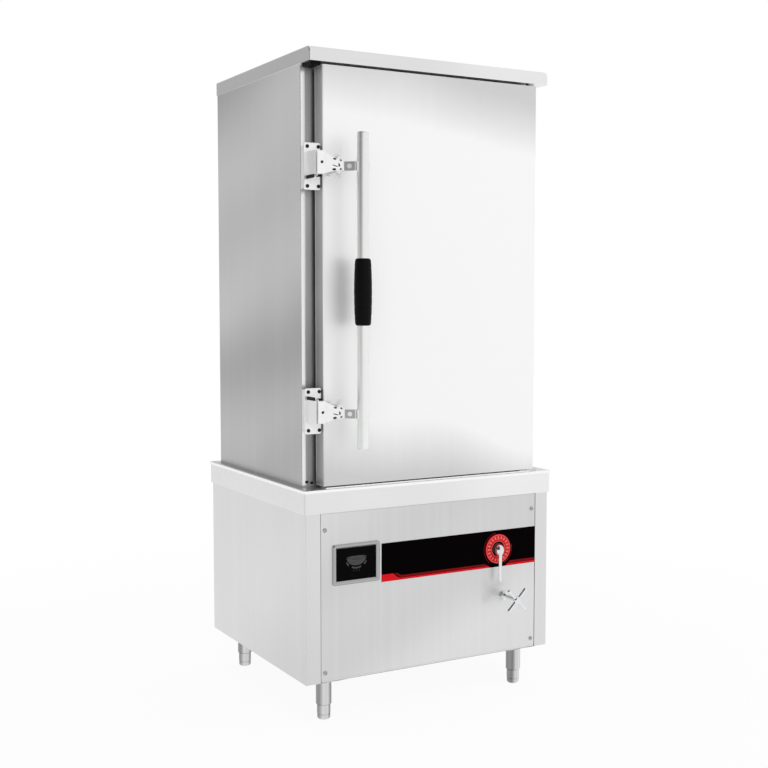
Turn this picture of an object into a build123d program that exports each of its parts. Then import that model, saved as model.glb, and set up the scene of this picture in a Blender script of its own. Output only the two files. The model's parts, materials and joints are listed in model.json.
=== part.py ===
"""Rice steamer cabinet: an insulated upper cabinet with one overlay door, on a base that holds the boiler.

Millimetres, +Z up, the front faces -Y, the door hinges on the right (+X). The sizes below are written about the
middle of the worktop rim; every piece is moved by ORIGIN_SHIFT_Y when it is written, so that the origin lies
under the middle of the whole cabinet, handle and rear fittings included.
"""
from build123d import *
import math
import os

# General sheet metal and clearances
SHEET = 1.5
BEND_R = 2.5
BODY_GAP = 0.3
RUNNING_GAP = 0.05

# Feet and legs
LEG_INSET_X = 71.0
LEG_INSET_Y = 50.0
LEG_R = 19.0
LEG_WALL = 2.0
LEG_PLATE = 86.0
LEG_PLATE_T = 3.0
LEG_INSERT_H = 26.0
FOOT_R = 16.5
FOOT_H = 38.0
FOOT_CHAMFER = 4.0
FOOT_STEM_R = 8.0
FOOT_STEM_H = 50.0
FOOT_TRAVEL = 20.0

# Base
BASE_BOTTOM = 105.0
BASE_W = 706.0
BASE_D = 590.0
CORNER_RETURN = 39.0
REAR_RETURN = 24.0
FLOOR_FLANGE = 20.0
FRAME_TUBE = 25.0

# Worktop rim
RIM_LIP = 5.0
RIM_H = 58.0
RIM_BOTTOM = 514.0
RIM_EDGE_R = 6.0
RIM_CORNER_R = 7.0

# Upper cabinet
CAB_STEP_SIDE = 20.0
CAB_STEP_FRONT = 54.0
CAB_STEP_BACK = 28.0
CAB_FOLD = 12.0
CAP_TOP = 1600.0
CAP_H = 34.0
CAP_OVERLAP = 1.0
CAP_ROLL_R = 14.0
CAP_EDGE_R = 3.0
FRAME_RETURN = 14.0

# Steam chamber
WALL_SIDE = 60.0
WALL_BACK = 45.0
WALL_FLOOR = 40.0
WALL_CEILING = 36.0
LINER_T = 1.2
LINER_COVE_R = 18.0
RUNNER_LEVELS = 12
RUNNER_FIRST_H = 52.0
RUNNER_HEADROOM = 74.0
RUNNER_LENGTH = 400.0
RUNNER_SET_BACK = 32.0
RUNNER_W = 20.0
RUNNER_T = 2.0
RUNNER_LIP = 9.0
RACK_POST_W = 22.0
RACK_POST_T = 10.0
RACK_POST_INSET = 55.0

# Door
DOOR_INSET = 33.0
DOOR_GAP_Z = 6.0
DOOR_GAP_Y = 9.0
DOOR_T = 41.0
DOOR_EDGE_R = 3.0
DOOR_FLANGE = 10.0
DOOR_PLUG_DEPTH = 10.0
DOOR_PLUG_INSET = 14.0
GASKET_W = 14.0
GASKET_LAP = 3.0
GASKET_EDGE_R = 3.5
CAP_OVERHANG = 2.0

# Door hinge
HINGE_INSET = 12.0
HINGE_PIN_R = 5.0
HINGE_BUSH_R = 8.0
HINGE_BUSH_H = 22.0
HINGE_COLLAR_R = 9.5
HINGE_PLATE_T = 4.0
HINGE_PLATE_W = 60.0
HINGE_PLATE_D = 38.0
HINGE_PLATE_HOLE_X = 20.0
HINGE_SCREW_R = 2.7

# Latches, measured from each latch's own middle height
LATCH_ZS = (1328.5, 755.0)
KEEPER_ZS = (1326.0, 757.5)
KEEPER_REACH = 44.0
KEEPER_W = 41.5
KEEPER_H = 108.0
KEEPER_T = 2.5
KEEPER_SET_BACK = 8.0
KEEPER_BOX_H = 54.0
KEEPER_WALL_T = 2.5
KEEPER_WALL_INSET = 5.0
KEEPER_WALL_EDGE = 0.5
KEEPER_WALL_D = 48.0
KEEPER_LIP_D = 10.0
KEEPER_LIP_FROM_LEFT = 28.0
KEEPER_CORNER_R = 4.0
KEEPER_HOLE_X = 14.2
KEEPER_HOLE_SHIFT = 1.8
KEEPER_HOLE_Z = 45.5
KEEPER_SCREW_R = 2.5
SPACER_W = 20.0
SPACER_H = 96.0
SPACER_T = 2.0
SPACER_INSET = 4.0
PIVOT_INSET = 26.0
PIVOT_STANDOFF = 26.0
PIVOT_PIN_R = 3.0
PIN_HEAD_R = 4.6
PIN_HEAD_T = 1.8
KNUCKLE_R = 7.5
KNUCKLE_H = 30.0
EAR_T = 3.0
EAR_R = 8.5
BRACKET_W = 36.0
BRACKET_H = 60.0
BRACKET_T = 2.5
BRACKET_HOLE_X = 11.5
BRACKET_HOLE_Z = 24.5
BRACKET_SCREW_R = 2.2
ARM_T = 6.0
ARM_H = 22.0
HEAD_GAP = 10.0
HEAD_W = 21.5
HEAD_T = 12.0
HEAD_H = 53.0
HEAD_PLUG_R = 3.0
HEAD_RAISE = 3.0
WEB_H = 28.0
WEB_INSET = 9.5
STRAP_DROP = 3.0
STRAP_BEND = 12.0
STRAP_BEND_R = 5.0
BOSS_R = 5.5
BOSS_T = 1.2
CLAMP_WALL = 3.0
CLAMP_H = 22.0
CLAMP_OPEN = 4.0
LATCH_RANGE = 30.0

# Pole and grip
POLE_FROM_PIVOT_X = 49.5
POLE_FROM_PIVOT_Y = 30.0
POLE_R = 14.0
POLE_WALL = 1.5
POLE_BOTTOM = 667.5
POLE_TOP = 1404.5
POLE_CAP_H = 4.0
POLE_PLUG_H = 14.0
POLE_GROOVE = 0.5
POLE_GROOVE_W = 1.6
GRIP_BOTTOM = 958.0
GRIP_TOP = 1114.0
GRIP_R = 21.0
GRIP_END_R = 18.5

# Front panel and controls
PANEL_GAP = 1.0
PANEL_RAISE = 5.0
PANEL_DROP = 1.0
PANEL_RETURN = 12.0
PANEL_SCREW_INSET = 11.0
PANEL_SCREW_LOW = 18.0
PANEL_SCREW_HIGH = 40.0
PANEL_SCREW_R = 2.0
PANEL_SCREW_HEAD_R = 5.0
DISPLAY_FROM_LEFT = 94.5
DISPLAY_FROM_TOP = 127.0
DISPLAY_W = 127.0
DISPLAY_H = 98.0
DISPLAY_RIM = 10.0
DISPLAY_PROUD = 6.0
DISPLAY_CORNER_R = 5.0
DISPLAY_BEVEL = 3.0
DISPLAY_GLASS_PROUD = 2.0
DISPLAY_BODY_INSET = 5.0
DISPLAY_BODY_D = 26.0
STRIP_GAP = 7.0
STRIP_H = 95.0
STRIP_DROP = 7.5
STRIP_T = 0.8
DIAL_FROM_RIGHT = 118.0
DIAL_FROM_TOP = 135.0
DIAL_R = 38.0
DIAL_HOLE_R = 19.0
DIAL_T = 2.5
SWITCH_BOSS_R = 15.0
SWITCH_SHAFT_R = 4.0
SWITCH_BODY = 56.0
SWITCH_BODY_D = 44.0
LEVER_HUB_R = 13.5
LEVER_HUB_T = 22.0
LEVER_LENGTH = 87.0
LEVER_ROOT_W = 12.0
LEVER_TIP_W = 8.0
LEVER_T = 7.0
LEVER_SET_BACK = 12.0
LEVER_RANGE = 270.0

# Water tap
TAP_FROM_RIGHT = 96.0
TAP_FROM_TOP = 260.0
TAP_STEM_R = 5.0
TAP_BONNET_R = 9.5
TAP_BONNET_PROUD = 12.0
TAP_NUT_R = 13.0
TAP_NUT_T = 5.0
TAP_BODY_R = 18.5
TAP_STANDOFF = 57.0
TAP_HUB_R = 9.0
TAP_HUB_T = 14.0
TAP_SPOKE_REACH = 39.0
TAP_SPOKE_ROOT_R = 3.2
TAP_SPOKE_TIP_R = 4.6
TAP_SPOKE_BEVEL = 2.0
TAP_BODY_D = 46.0
TAP_RANGE = 750.0
PIPE_R = 7.5
PIPE_WALL = 1.5
PIPE_STUB_R = 10.48
PIPE_STUB = 22.0
PIPE_NECK_R = 9.0
PIPE_NUT_R = 15.0
PIPE_NUT_T = 6.0

# Boiler, feed tank and steam path
BOILER_W = 330.0
BOILER_D = 360.0
BOILER_H = 235.0
BOILER_INSET = 53.0
BOILER_RAISE = 100.0
BOILER_FOOT = 24.0
BOILER_FOOT_INSET = 42.0
BOILER_WALL = 2.0
BOILER_CORNER_R = 30.0
NECK_R = 45.0
NECK_OFFSET = 35.0
DIFFUSER_R = 62.0
DIFFUSER_H = 26.0
DIFFUSER_BEVEL = 5.0
DIFFUSER_HOLES = 12
DIFFUSER_HOLE_R = 5.0
TANK_GAP = 20.0
TANK_D = 160.0
TANK_H = 125.0
TANK_SET_BACK = 13.0
TANK_TAP_GAP = 26.5
TANK_WALL = 2.0
LINK_INSET = 13.0
LINK_RAISE = 30.0
LINK_R = 9.0
FLOAT_R = 22.0
FLOAT_LENGTH = 44.0
FLOAT_BEVEL = 5.0
FLOAT_ARM_R = 2.5
FLOAT_PIVOT_R = 3.0
FLOAT_PIVOT_DROP = 25.0
FLOAT_PIVOT_INSET = 22.0
FLOAT_EYE_WALL = 4.0
FLOAT_LUG_GAP = 12.0
FLOAT_LUG_T = 4.0
FLOAT_DROP = 36.0
FLOAT_REACH = 74.0
FLOAT_RANGE = 22.0
TANK_LEG_W = 16.0
TANK_LEG_SETBACK = 36.0

# Heating, power and cooling
COIL_R = 130.0
COIL_HOLE_R = 42.0
COIL_T = 14.0
COIL_GAP = 4.0
COIL_RIDGES = 5
CARRIER_T = 6.0
CARRIER_POST_R = 8.0
CARRIER_POST_INSET = 12.0
POWER_GAP = 30.0
POWER_W = 190.0
POWER_SET_BACK = 225.0
POWER_D = 210.0
POWER_H = 80.0
FIN_COUNT = 15
FIN_H = 34.0
FIN_T = 2.5
FAN_FROM_RIGHT = 233.0
FAN_RAISE = 195.0
FAN_SIZE = 120.0
FAN_D = 38.0
FAN_DUCT_R = 57.0
FAN_ROTOR_R = 54.0
FAN_HUB_R = 22.0
FAN_BLADES = 7
FAN_BLADE_T = 2.0
FAN_BLADE_PITCH = 38.0
FAN_SHAFT_R = 3.0
FAN_SPIDER_T = 5.0
LOUVRE_ROWS = 9
LOUVRE_PITCH = 18.0
LOUVRE_W = 110.0
LOUVRE_H = 6.0
LOUVRE_RAISE = 135.0
LOUVRE_COLUMNS = 3
LOUVRE_COLUMN_PITCH = 140.0
DRIP_HOLE_R = 9.0
DRIP_HOLE_X = 60.0

# Rear fittings
DRAIN_PROUD = 57.0
DRAIN_FROM_LEFT = 153.0
DRAIN_DROP = 45.0
DRAIN_INSET = 30.0
DRAIN_PIPE_R = 13.2
DRAIN_PIPE_WALL = 2.6
DRAIN_BALL_R = 21.0
DRAIN_BALL_SET_BACK = 30.0
DRAIN_STEM_PROUD = 6.0
DRAIN_STEM_R = 4.0
DRAIN_LEVER_L = 92.0
DRAIN_LEVER_W = 16.0
DRAIN_LEVER_T = 3.0
DRAIN_RANGE = 90.0
GLAND_FROM_RIGHT = 91.0
GLAND_RAISE = 85.0
GLAND_R = 17.0
GLAND_BORE_R = 9.0
GLAND_PROUD = 26.0
VENT_X = 0.0
VENT_DROP = 90.0
VENT_R = 21.0
VENT_WALL = 1.5
VENT_PROUD = 34.0

# Places that follow from the sizes above: base and rim
BASE_TOP = RIM_BOTTOM
BASE_FRONT = -BASE_D / 2
BASE_BACK = BASE_D / 2
BASE_SIDE = BASE_W / 2
LEG_X = BASE_SIDE - LEG_INSET_X
LEG_Y = BASE_BACK - LEG_INSET_Y
RIM_W = BASE_W + 2 * RIM_LIP
RIM_D = BASE_D + 2 * RIM_LIP
RIM_TOP = RIM_BOTTOM + RIM_H

# Cabinet, chamber and door
CAB_SIDE = RIM_W / 2 - CAB_STEP_SIDE
CAB_FRONT = -RIM_D / 2 + CAB_STEP_FRONT
CAB_BACK = RIM_D / 2 - CAB_STEP_BACK
CAB_TOP = CAP_TOP - CAP_H
FRAME_FACE = CAB_FRONT + SHEET
FRAME_REAR = FRAME_FACE + SHEET
CHAMBER_SIDE = CAB_SIDE - WALL_SIDE
CHAMBER_FLOOR = RIM_TOP + WALL_FLOOR
CHAMBER_CEILING = CAB_TOP - WALL_CEILING
CHAMBER_BACK = CAB_BACK - WALL_BACK
RUNNER_FIRST_Z = CHAMBER_FLOOR + RUNNER_FIRST_H
RUNNER_PITCH = (CHAMBER_CEILING - RUNNER_HEADROOM - RUNNER_FIRST_Z) / (RUNNER_LEVELS - 1)
RUNNER_BACK = CHAMBER_BACK - RUNNER_SET_BACK
RUNNER_FRONT = RUNNER_BACK - RUNNER_LENGTH
DOOR_SIDE = CAB_SIDE - DOOR_INSET
DOOR_BOTTOM = RIM_TOP + DOOR_GAP_Z
DOOR_TOP = CAB_TOP - DOOR_GAP_Z
DOOR_REAR = CAB_FRONT - DOOR_GAP_Y
DOOR_FRONT = DOOR_REAR - DOOR_T
CAP_FRONT = DOOR_FRONT - CAP_OVERHANG
HINGE_X = DOOR_SIDE - HINGE_INSET
HINGE_Y = DOOR_FRONT + HINGE_INSET
SEAL_SIDE = CHAMBER_SIDE + GASKET_LAP

# Latches and pole
KEEPER_LEFT = -DOOR_SIDE - KEEPER_REACH
KEEPER_FACE_Y = DOOR_FRONT + KEEPER_SET_BACK
KEEPER_LIP_X = KEEPER_LEFT + KEEPER_LIP_FROM_LEFT
HEAD_LEFT = KEEPER_LEFT + HEAD_GAP
PIVOT_X = -DOOR_SIDE + PIVOT_INSET
PIVOT_Y = DOOR_FRONT - PIVOT_STANDOFF
POLE_X = PIVOT_X + POLE_FROM_PIVOT_X
POLE_Y = PIVOT_Y - POLE_FROM_PIVOT_Y

# Front panel and what it carries
PANEL_FACE = BASE_FRONT
PANEL_SIDE = BASE_SIDE - CORNER_RETURN - PANEL_GAP
PANEL_BOTTOM = BASE_BOTTOM + PANEL_RAISE
PANEL_TOP = BASE_TOP - PANEL_DROP
DISPLAY_X = -PANEL_SIDE + DISPLAY_FROM_LEFT
DISPLAY_Z = PANEL_TOP - DISPLAY_FROM_TOP
STRIP_LEFT = DISPLAY_X + DISPLAY_W / 2 + STRIP_GAP
STRIP_TOP = PANEL_TOP - DISPLAY_FROM_TOP + STRIP_H / 2 - STRIP_DROP
STRIP_BOTTOM = STRIP_TOP - STRIP_H
DIAL_X = PANEL_SIDE - DIAL_FROM_RIGHT
DIAL_Z = PANEL_TOP - DIAL_FROM_TOP
TAP_X = PANEL_SIDE - TAP_FROM_RIGHT
TAP_Z = PANEL_TOP - TAP_FROM_TOP
TAP_HANDLE_Y = PANEL_FACE - TAP_STANDOFF

# Inside and behind the base
FLOOR_FACE = BASE_BOTTOM + SHEET
BOILER_LEFT = -BASE_SIDE + BOILER_INSET
BOILER_RIGHT = BOILER_LEFT + BOILER_W
BOILER_X = (BOILER_LEFT + BOILER_RIGHT) / 2
BOILER_BOTTOM = BASE_BOTTOM + BOILER_RAISE
BOILER_TOP = BOILER_BOTTOM + BOILER_H
NECK_X = BOILER_X + NECK_OFFSET
NECK_Y = 0.0
TANK_LEFT = BOILER_RIGHT + TANK_GAP
TANK_RIGHT = TAP_X - TAP_BODY_R - TANK_TAP_GAP
TANK_FRONT = BASE_FRONT + TANK_SET_BACK
TANK_BACK = TANK_FRONT + TANK_D
TANK_BOTTOM = BOILER_BOTTOM
TANK_TOP = TANK_BOTTOM + TANK_H
LINK_Y = TANK_BACK - LINK_INSET
LINK_Z = TANK_BOTTOM + LINK_RAISE
FLOAT_PIVOT_X = (TANK_LEFT + TANK_RIGHT) / 2
FLOAT_PIVOT_Y = TANK_BACK - FLOAT_PIVOT_INSET
FLOAT_PIVOT_Z = TANK_TOP - FLOAT_PIVOT_DROP
COIL_TOP = BOILER_BOTTOM - COIL_GAP
COIL_BOTTOM = COIL_TOP - COIL_T
POWER_LEFT = BOILER_RIGHT + POWER_GAP
POWER_FRONT = BASE_FRONT + POWER_SET_BACK
FAN_X = BASE_SIDE - FAN_FROM_RIGHT
FAN_Z = BASE_BOTTOM + FAN_RAISE
FAN_BACK = BASE_BACK - SHEET
FAN_FRONT = FAN_BACK - FAN_D
LOUVRE_BOTTOM = BASE_BOTTOM + LOUVRE_RAISE
REAR_REACH = BASE_BACK + DRAIN_PROUD
DRAIN_X = -BASE_SIDE + DRAIN_FROM_LEFT
DRAIN_Z = BOILER_BOTTOM - DRAIN_DROP
DRAIN_BALL_Y = REAR_REACH - DRAIN_BALL_SET_BACK
GLAND_X = BASE_SIDE - GLAND_FROM_RIGHT
GLAND_Z = BASE_BOTTOM + GLAND_RAISE
VENT_Z = CAP_TOP - CAP_H - VENT_DROP

# The origin lies under the middle of the whole cabinet, from the grip's front to the drain's end
FRONT_REACH = POLE_Y - GRIP_R
ORIGIN_SHIFT_Y = -(FRONT_REACH + REAR_REACH) / 2


def slab(x0, x1, y0, y1, z0, z1):
    """A block between two corners."""
    middle = Pos((x0 + x1) / 2, (y0 + y1) / 2, (z0 + z1) / 2)
    return middle * Box(abs(x1 - x0), abs(y1 - y0), abs(z1 - z0))


def bar_y(x, z, y0, y1, radius):
    """A round bar along Y."""
    return Pos(x, (y0 + y1) / 2, z) * Rot(90, 0, 0) * Cylinder(radius, abs(y1 - y0))


def bar_x(y, z, x0, x1, radius):
    """A round bar along X."""
    return Pos((x0 + x1) / 2, y, z) * Rot(0, 90, 0) * Cylinder(radius, abs(x1 - x0))


def bar_z(x, y, z0, z1, radius):
    """A round bar along Z."""
    return Pos(x, y, (z0 + z1) / 2) * Cylinder(radius, abs(z1 - z0))


def hex_y(x, z, y0, y1, radius):
    """A hexagonal nut along Y, whose corners lie on the radius."""
    nut = extrude(RegularPolygon(radius, 6), amount=abs(y1 - y0))
    return Pos(x, max(y0, y1), z) * Rot(90, 0, 0) * nut


def folded_sheet(points, z0, z1):
    """An upright sheet bent along a path, which runs through the middle of its thickness."""
    path = FilletPolyline(*points, radius=BEND_R)
    return Pos(0, 0, z0) * extrude(trace(path, SHEET), amount=z1 - z0)


def mirrored(shape):
    """The same piece on the other side of the cabinet."""
    return mirror(shape, about=Plane.YZ)


# Legs and feet
def leg(x, y):
    """A welded leg: a tube with a top plate, and a bored insert that holds the foot's stem."""
    bottom = FOOT_H + BODY_GAP
    tube = bar_z(x, y, bottom, BASE_BOTTOM, LEG_R)
    tube -= bar_z(x, y, bottom + LEG_INSERT_H, BASE_BOTTOM - LEG_PLATE_T, LEG_R - LEG_WALL)
    tube -= bar_z(x, y, bottom, bottom + LEG_INSERT_H, FOOT_STEM_R + RUNNING_GAP)
    half = LEG_PLATE / 2
    plate = slab(x - half, x + half, y - half, y + half, BASE_BOTTOM - LEG_PLATE_T, BASE_BOTTOM)
    return tube + plate


def leg_tubes():
    """The four legs, the same at each corner."""
    return Part() + [leg(sx * LEG_X, sy * LEG_Y) for sx in (-1, 1) for sy in (-1, 1)]


def foot(x, y):
    """An adjustable foot: a turned bullet with a bevelled end and a stem that screws into the leg."""
    collar = FOOT_R - 1.5
    outline = Polyline(
        (0, 0),
        (FOOT_R - FOOT_CHAMFER, 0),
        (FOOT_R, FOOT_CHAMFER),
        (FOOT_R, FOOT_H - 8),
        (collar, FOOT_H - 6.5),
        (collar, FOOT_H),
        (FOOT_STEM_R, FOOT_H),
        (FOOT_STEM_R, FOOT_H + FOOT_STEM_H),
        (0, FOOT_H + FOOT_STEM_H),
        close=True,
    )
    return Pos(x, y, 0) * revolve(Plane.XZ * make_face(outline), axis=Axis.Z)


# Base casing
def base_side_panel():
    """The left side of the base: one sheet with a front return, a rear return and a floor flange."""
    mid = BASE_SIDE - SHEET / 2
    front = BASE_FRONT + SHEET / 2
    back = BASE_BACK - SHEET / 2
    path = [
        (-BASE_SIDE + REAR_RETURN, back),
        (-mid, back),
        (-mid, front),
        (-BASE_SIDE + CORNER_RETURN, front),
    ]
    panel = folded_sheet(path, BASE_BOTTOM, BASE_TOP)
    inner = -BASE_SIDE + SHEET
    flange_y = BASE_BACK - BEND_R - SHEET
    flange = slab(inner, inner + FLOOR_FLANGE, -flange_y, flange_y, BASE_BOTTOM, BASE_BOTTOM + SHEET)
    return panel + flange


def base_frame():
    """The welded frame of square tube inside the base: four posts joined by a top and a bottom ring.

    The rings' front rails are set back, because the front panel's folded edges stand in front of them.
    """
    x = BASE_SIDE - SHEET
    y = BASE_BACK - SHEET
    low = FLOOR_FACE
    t = FRAME_TUBE
    rail_front = BASE_FRONT + PANEL_RETURN
    ring = slab(-x, x, rail_front, y, 0, t) - slab(-x + t, x - t, rail_front + t, y - t, 0, t)
    rear_corners = ring.edges().filter_by(Axis.Z).group_by(Axis.Y)[-1]
    ring = fillet(rear_corners, BEND_R)
    posts = []
    for sx in (-1, 1):
        for sy in (-1, 1):
            post = Pos(sx * (x - t / 2), sy * (y - t / 2), (low + BASE_TOP) / 2) * Box(t, t, BASE_TOP - low)
            posts.append(fillet(post.edges().filter_by(Axis.Z), BEND_R))
    return Pos(0, 0, BASE_TOP - t) * ring + posts + Pos(0, 0, low) * ring


def base_floor_pan():
    """The floor of the base: a flat sheet between the side panels' flanges, with two drip holes."""
    half_x = BASE_SIDE - SHEET
    pan = slab(-half_x + FLOOR_FLANGE, half_x - FLOOR_FLANGE, BASE_FRONT + SHEET, BASE_BACK - SHEET,
               BASE_BOTTOM, BASE_BOTTOM + SHEET)
    for x in (-DRIP_HOLE_X, DRIP_HOLE_X):
        pan -= bar_z(x, 0, BASE_BOTTOM - 1, FLOOR_FACE + 1, DRIP_HOLE_R)
    return pan


def base_back_panel():
    """The back of the base: a sheet inside the rear returns, with louvres at the fan and holes for pipes."""
    x = BASE_SIDE - REAR_RETURN - BODY_GAP
    panel = slab(-x, x, BASE_BACK - SHEET, BASE_BACK, BASE_BOTTOM, BASE_TOP)
    far = BASE_BACK + 12.0
    near = BASE_BACK - 12.0
    for row in range(LOUVRE_ROWS):
        z = LOUVRE_BOTTOM + row * LOUVRE_PITCH
        slot = slab(FAN_X - LOUVRE_W / 2, FAN_X + LOUVRE_W / 2, near, far, z, z + LOUVRE_H)
        for column in range(LOUVRE_COLUMNS):
            panel -= Pos(-column * LOUVRE_COLUMN_PITCH, 0, 0) * slot
    panel -= bar_y(TAP_X, TAP_Z, near, far, PIPE_NECK_R + BODY_GAP)
    panel -= bar_y(DRAIN_X, DRAIN_Z, near, far, DRAIN_PIPE_R + BODY_GAP)
    panel -= bar_y(GLAND_X, GLAND_Z, near, far, GLAND_BORE_R + 3.0)
    return panel


def front_panel():
    """The removable front panel: a sheet with folded edges, cut out for the display, switch and tap."""
    half = PANEL_SIDE
    deep = PANEL_FACE + PANEL_RETURN
    panel = slab(-half, half, PANEL_FACE, deep, PANEL_BOTTOM, PANEL_TOP)
    panel = fillet(panel.edges().group_by(Axis.Y)[0], 1.4)
    panel -= slab(-half + SHEET, half - SHEET, PANEL_FACE + SHEET, deep, PANEL_BOTTOM + SHEET, PANEL_TOP - SHEET)
    panel -= slab(
        DISPLAY_X - DISPLAY_W / 2 + DISPLAY_RIM + DISPLAY_BODY_INSET,
        DISPLAY_X + DISPLAY_W / 2 - DISPLAY_RIM - DISPLAY_BODY_INSET,
        PANEL_FACE - 1, deep,
        DISPLAY_Z - DISPLAY_H / 2 + DISPLAY_RIM + DISPLAY_BODY_INSET,
        DISPLAY_Z + DISPLAY_H / 2 - DISPLAY_RIM - DISPLAY_BODY_INSET,
    )
    panel -= bar_y(DIAL_X, DIAL_Z, PANEL_FACE - 1, deep, SWITCH_BOSS_R)
    panel -= bar_y(TAP_X, TAP_Z, PANEL_FACE - 1, deep, TAP_BONNET_R)
    for x, z in panel_screw_places():
        panel -= bar_y(x, z, PANEL_FACE - 1, PANEL_FACE + SHEET + 1, PANEL_SCREW_R)
    return panel


def panel_screw_places():
    """The four corners where the front panel is screwed on."""
    x = PANEL_SIDE - PANEL_SCREW_INSET
    heights = (PANEL_BOTTOM + PANEL_SCREW_LOW, PANEL_TOP - PANEL_SCREW_HIGH)
    return [(sx * x, z) for sx in (-1, 1) for z in heights]


def front_panel_screws():
    """Low round-headed screws in the front panel's corners."""
    screws = []
    for x, z in panel_screw_places():
        head = bar_y(x, z, PANEL_FACE - 2.2, PANEL_FACE, PANEL_SCREW_HEAD_R)
        head = chamfer(head.edges().group_by(Axis.Y)[0], 1.2)
        slot = slab(x - 3.6, x + 3.6, PANEL_FACE - 3, PANEL_FACE - 1.2, z - 0.5, z + 0.5)
        screws.append(head - slot + bar_y(x, z, PANEL_FACE, PANEL_FACE + PANEL_RETURN - 2, PANEL_SCREW_R))
    return Part() + screws


def worktop_rim():
    """The pressed worktop that the cabinet stands on: an open-bottomed tray with a steam hole."""
    x = RIM_W / 2
    y = RIM_D / 2
    rim = slab(-x, x, -y, y, RIM_BOTTOM, RIM_TOP)
    rim = fillet(rim.edges().filter_by(Axis.Z), RIM_CORNER_R)
    rim = fillet(rim.edges().group_by(Axis.Z)[-1], RIM_EDGE_R)
    hollow = slab(-x + SHEET, x - SHEET, -y + SHEET, y - SHEET, RIM_BOTTOM + SHEET, RIM_TOP - SHEET)
    hollow = fillet(hollow.edges().filter_by(Axis.Z), RIM_CORNER_R - SHEET)
    hollow = fillet(hollow.edges().group_by(Axis.Z)[-1], RIM_EDGE_R - SHEET)
    lip = (RIM_W - BASE_W) / 2 + FRAME_TUBE
    under = slab(-x + lip, x - lip, -y + lip, y - lip, RIM_BOTTOM - 1, RIM_BOTTOM + SHEET + 1)
    return rim - hollow - under - bar_z(NECK_X, NECK_Y, RIM_TOP - 10, RIM_TOP + 10, NECK_R + BODY_GAP)


# Upper cabinet
def cabinet_side_panel():
    """The left side of the cabinet: one sheet with a narrow fold in front and a return at the back."""
    mid = CAB_SIDE - SHEET / 2
    front = CAB_FRONT + SHEET / 2
    back = CAB_BACK - SHEET / 2
    path = [(-CAB_SIDE + REAR_RETURN, back), (-mid, back), (-mid, front), (-CAB_SIDE + CAB_FOLD, front)]
    return folded_sheet(path, RIM_TOP, CAB_TOP)


def cabinet_rear_panel():
    """The back of the cabinet, behind the side panels' rear returns, with the vent's hole."""
    x = CAB_SIDE - SHEET - BEND_R
    panel = slab(-x, x, CAB_BACK - 2 * SHEET, CAB_BACK - SHEET, RIM_TOP, CAB_TOP)
    return panel - bar_y(VENT_X, VENT_Z, CAB_BACK - 10, CAB_BACK + 10, VENT_R + BODY_GAP)


def top_cap():
    """The top: a pressed lid that overhangs the door, with a rolled front edge and a closed underside there."""
    x = CAB_SIDE + CAP_OVERLAP
    back = CAB_BACK + CAP_OVERLAP
    cap = slab(-x, x, CAP_FRONT, back, CAB_TOP, CAP_TOP)
    front_top = cap.edges().group_by(Axis.Z)[-1].group_by(Axis.Y)[0]
    cap = fillet(front_top, CAP_ROLL_R)
    sides = cap.edges().filter_by(Axis.Y).group_by(Axis.Z)[-1]
    cap = fillet(sides, CAP_EDGE_R)
    hollow = slab(-x + SHEET, x - SHEET, CAP_FRONT + SHEET, back - SHEET, CAB_TOP - 1, CAP_TOP - SHEET)
    roll = hollow.edges().group_by(Axis.Z)[-1].group_by(Axis.Y)[0]
    hollow = fillet(roll, CAP_ROLL_R - SHEET)
    underside = slab(-x, x, CAP_FRONT, CAB_FRONT, CAB_TOP, CAB_TOP + SHEET)
    pin_hole = bar_z(HINGE_X, HINGE_Y, CAB_TOP - 1, CAB_TOP + SHEET + 1, HINGE_PIN_R + BODY_GAP)
    return (cap - hollow) + underside - pin_hole


def front_frame():
    """The frame that the door seals on: a flat ring round the chamber's mouth, with its outer edges folded back."""
    x = CAB_SIDE - SHEET - BEND_R
    side = CHAMBER_SIDE
    solid = slab(-x, x, FRAME_FACE, FRAME_REAR + FRAME_RETURN, RIM_TOP, CAB_TOP)
    solid -= slab(-x + SHEET, x - SHEET, FRAME_REAR, FRAME_REAR + FRAME_RETURN, RIM_TOP + SHEET, CAB_TOP - SHEET)
    return solid - slab(-side, side, FRAME_FACE - 1, FRAME_REAR + 1, CHAMBER_FLOOR, CHAMBER_CEILING)


def liner_block(grow, front):
    """The chamber's block with coved corners, grown outwards by an amount, starting at a front plane."""
    x = CHAMBER_SIDE + grow
    block = slab(-x, x, front, CHAMBER_BACK + grow, CHAMBER_FLOOR - grow, CHAMBER_CEILING + grow)
    rear = block.edges().group_by(Axis.Y)[-1]
    return fillet(rear, LINER_COVE_R + grow)


def inner_liner():
    """The steam chamber: a five-sided tank, open in front, with the steam inlet and the vent's hole."""
    liner = liner_block(LINER_T, FRAME_REAR) - liner_block(0, FRAME_REAR - 5)
    liner -= bar_z(NECK_X, NECK_Y, CHAMBER_FLOOR - 10, CHAMBER_FLOOR + 10, NECK_R + BODY_GAP)
    return liner - bar_y(VENT_X, VENT_Z, CHAMBER_BACK - 10, CHAMBER_BACK + 10, VENT_R + BODY_GAP)


def insulation_jacket():
    """The mineral wool between the liner and the outer skin."""
    x = CAB_SIDE - SHEET
    front = FRAME_REAR + FRAME_RETURN
    jacket = slab(-x, x, front, CAB_BACK - 2 * SHEET, RIM_TOP, CAB_TOP)
    jacket = fillet(jacket.edges().filter_by(Axis.Z).group_by(Axis.Y)[-1], BEND_R)
    jacket -= liner_block(LINER_T + BODY_GAP, front - 5)
    jacket -= bar_z(NECK_X, NECK_Y, RIM_TOP - 1, CHAMBER_FLOOR, NECK_R + BODY_GAP)
    return jacket - bar_y(VENT_X, VENT_Z, CHAMBER_BACK, CAB_BACK, VENT_R + BODY_GAP)


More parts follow.
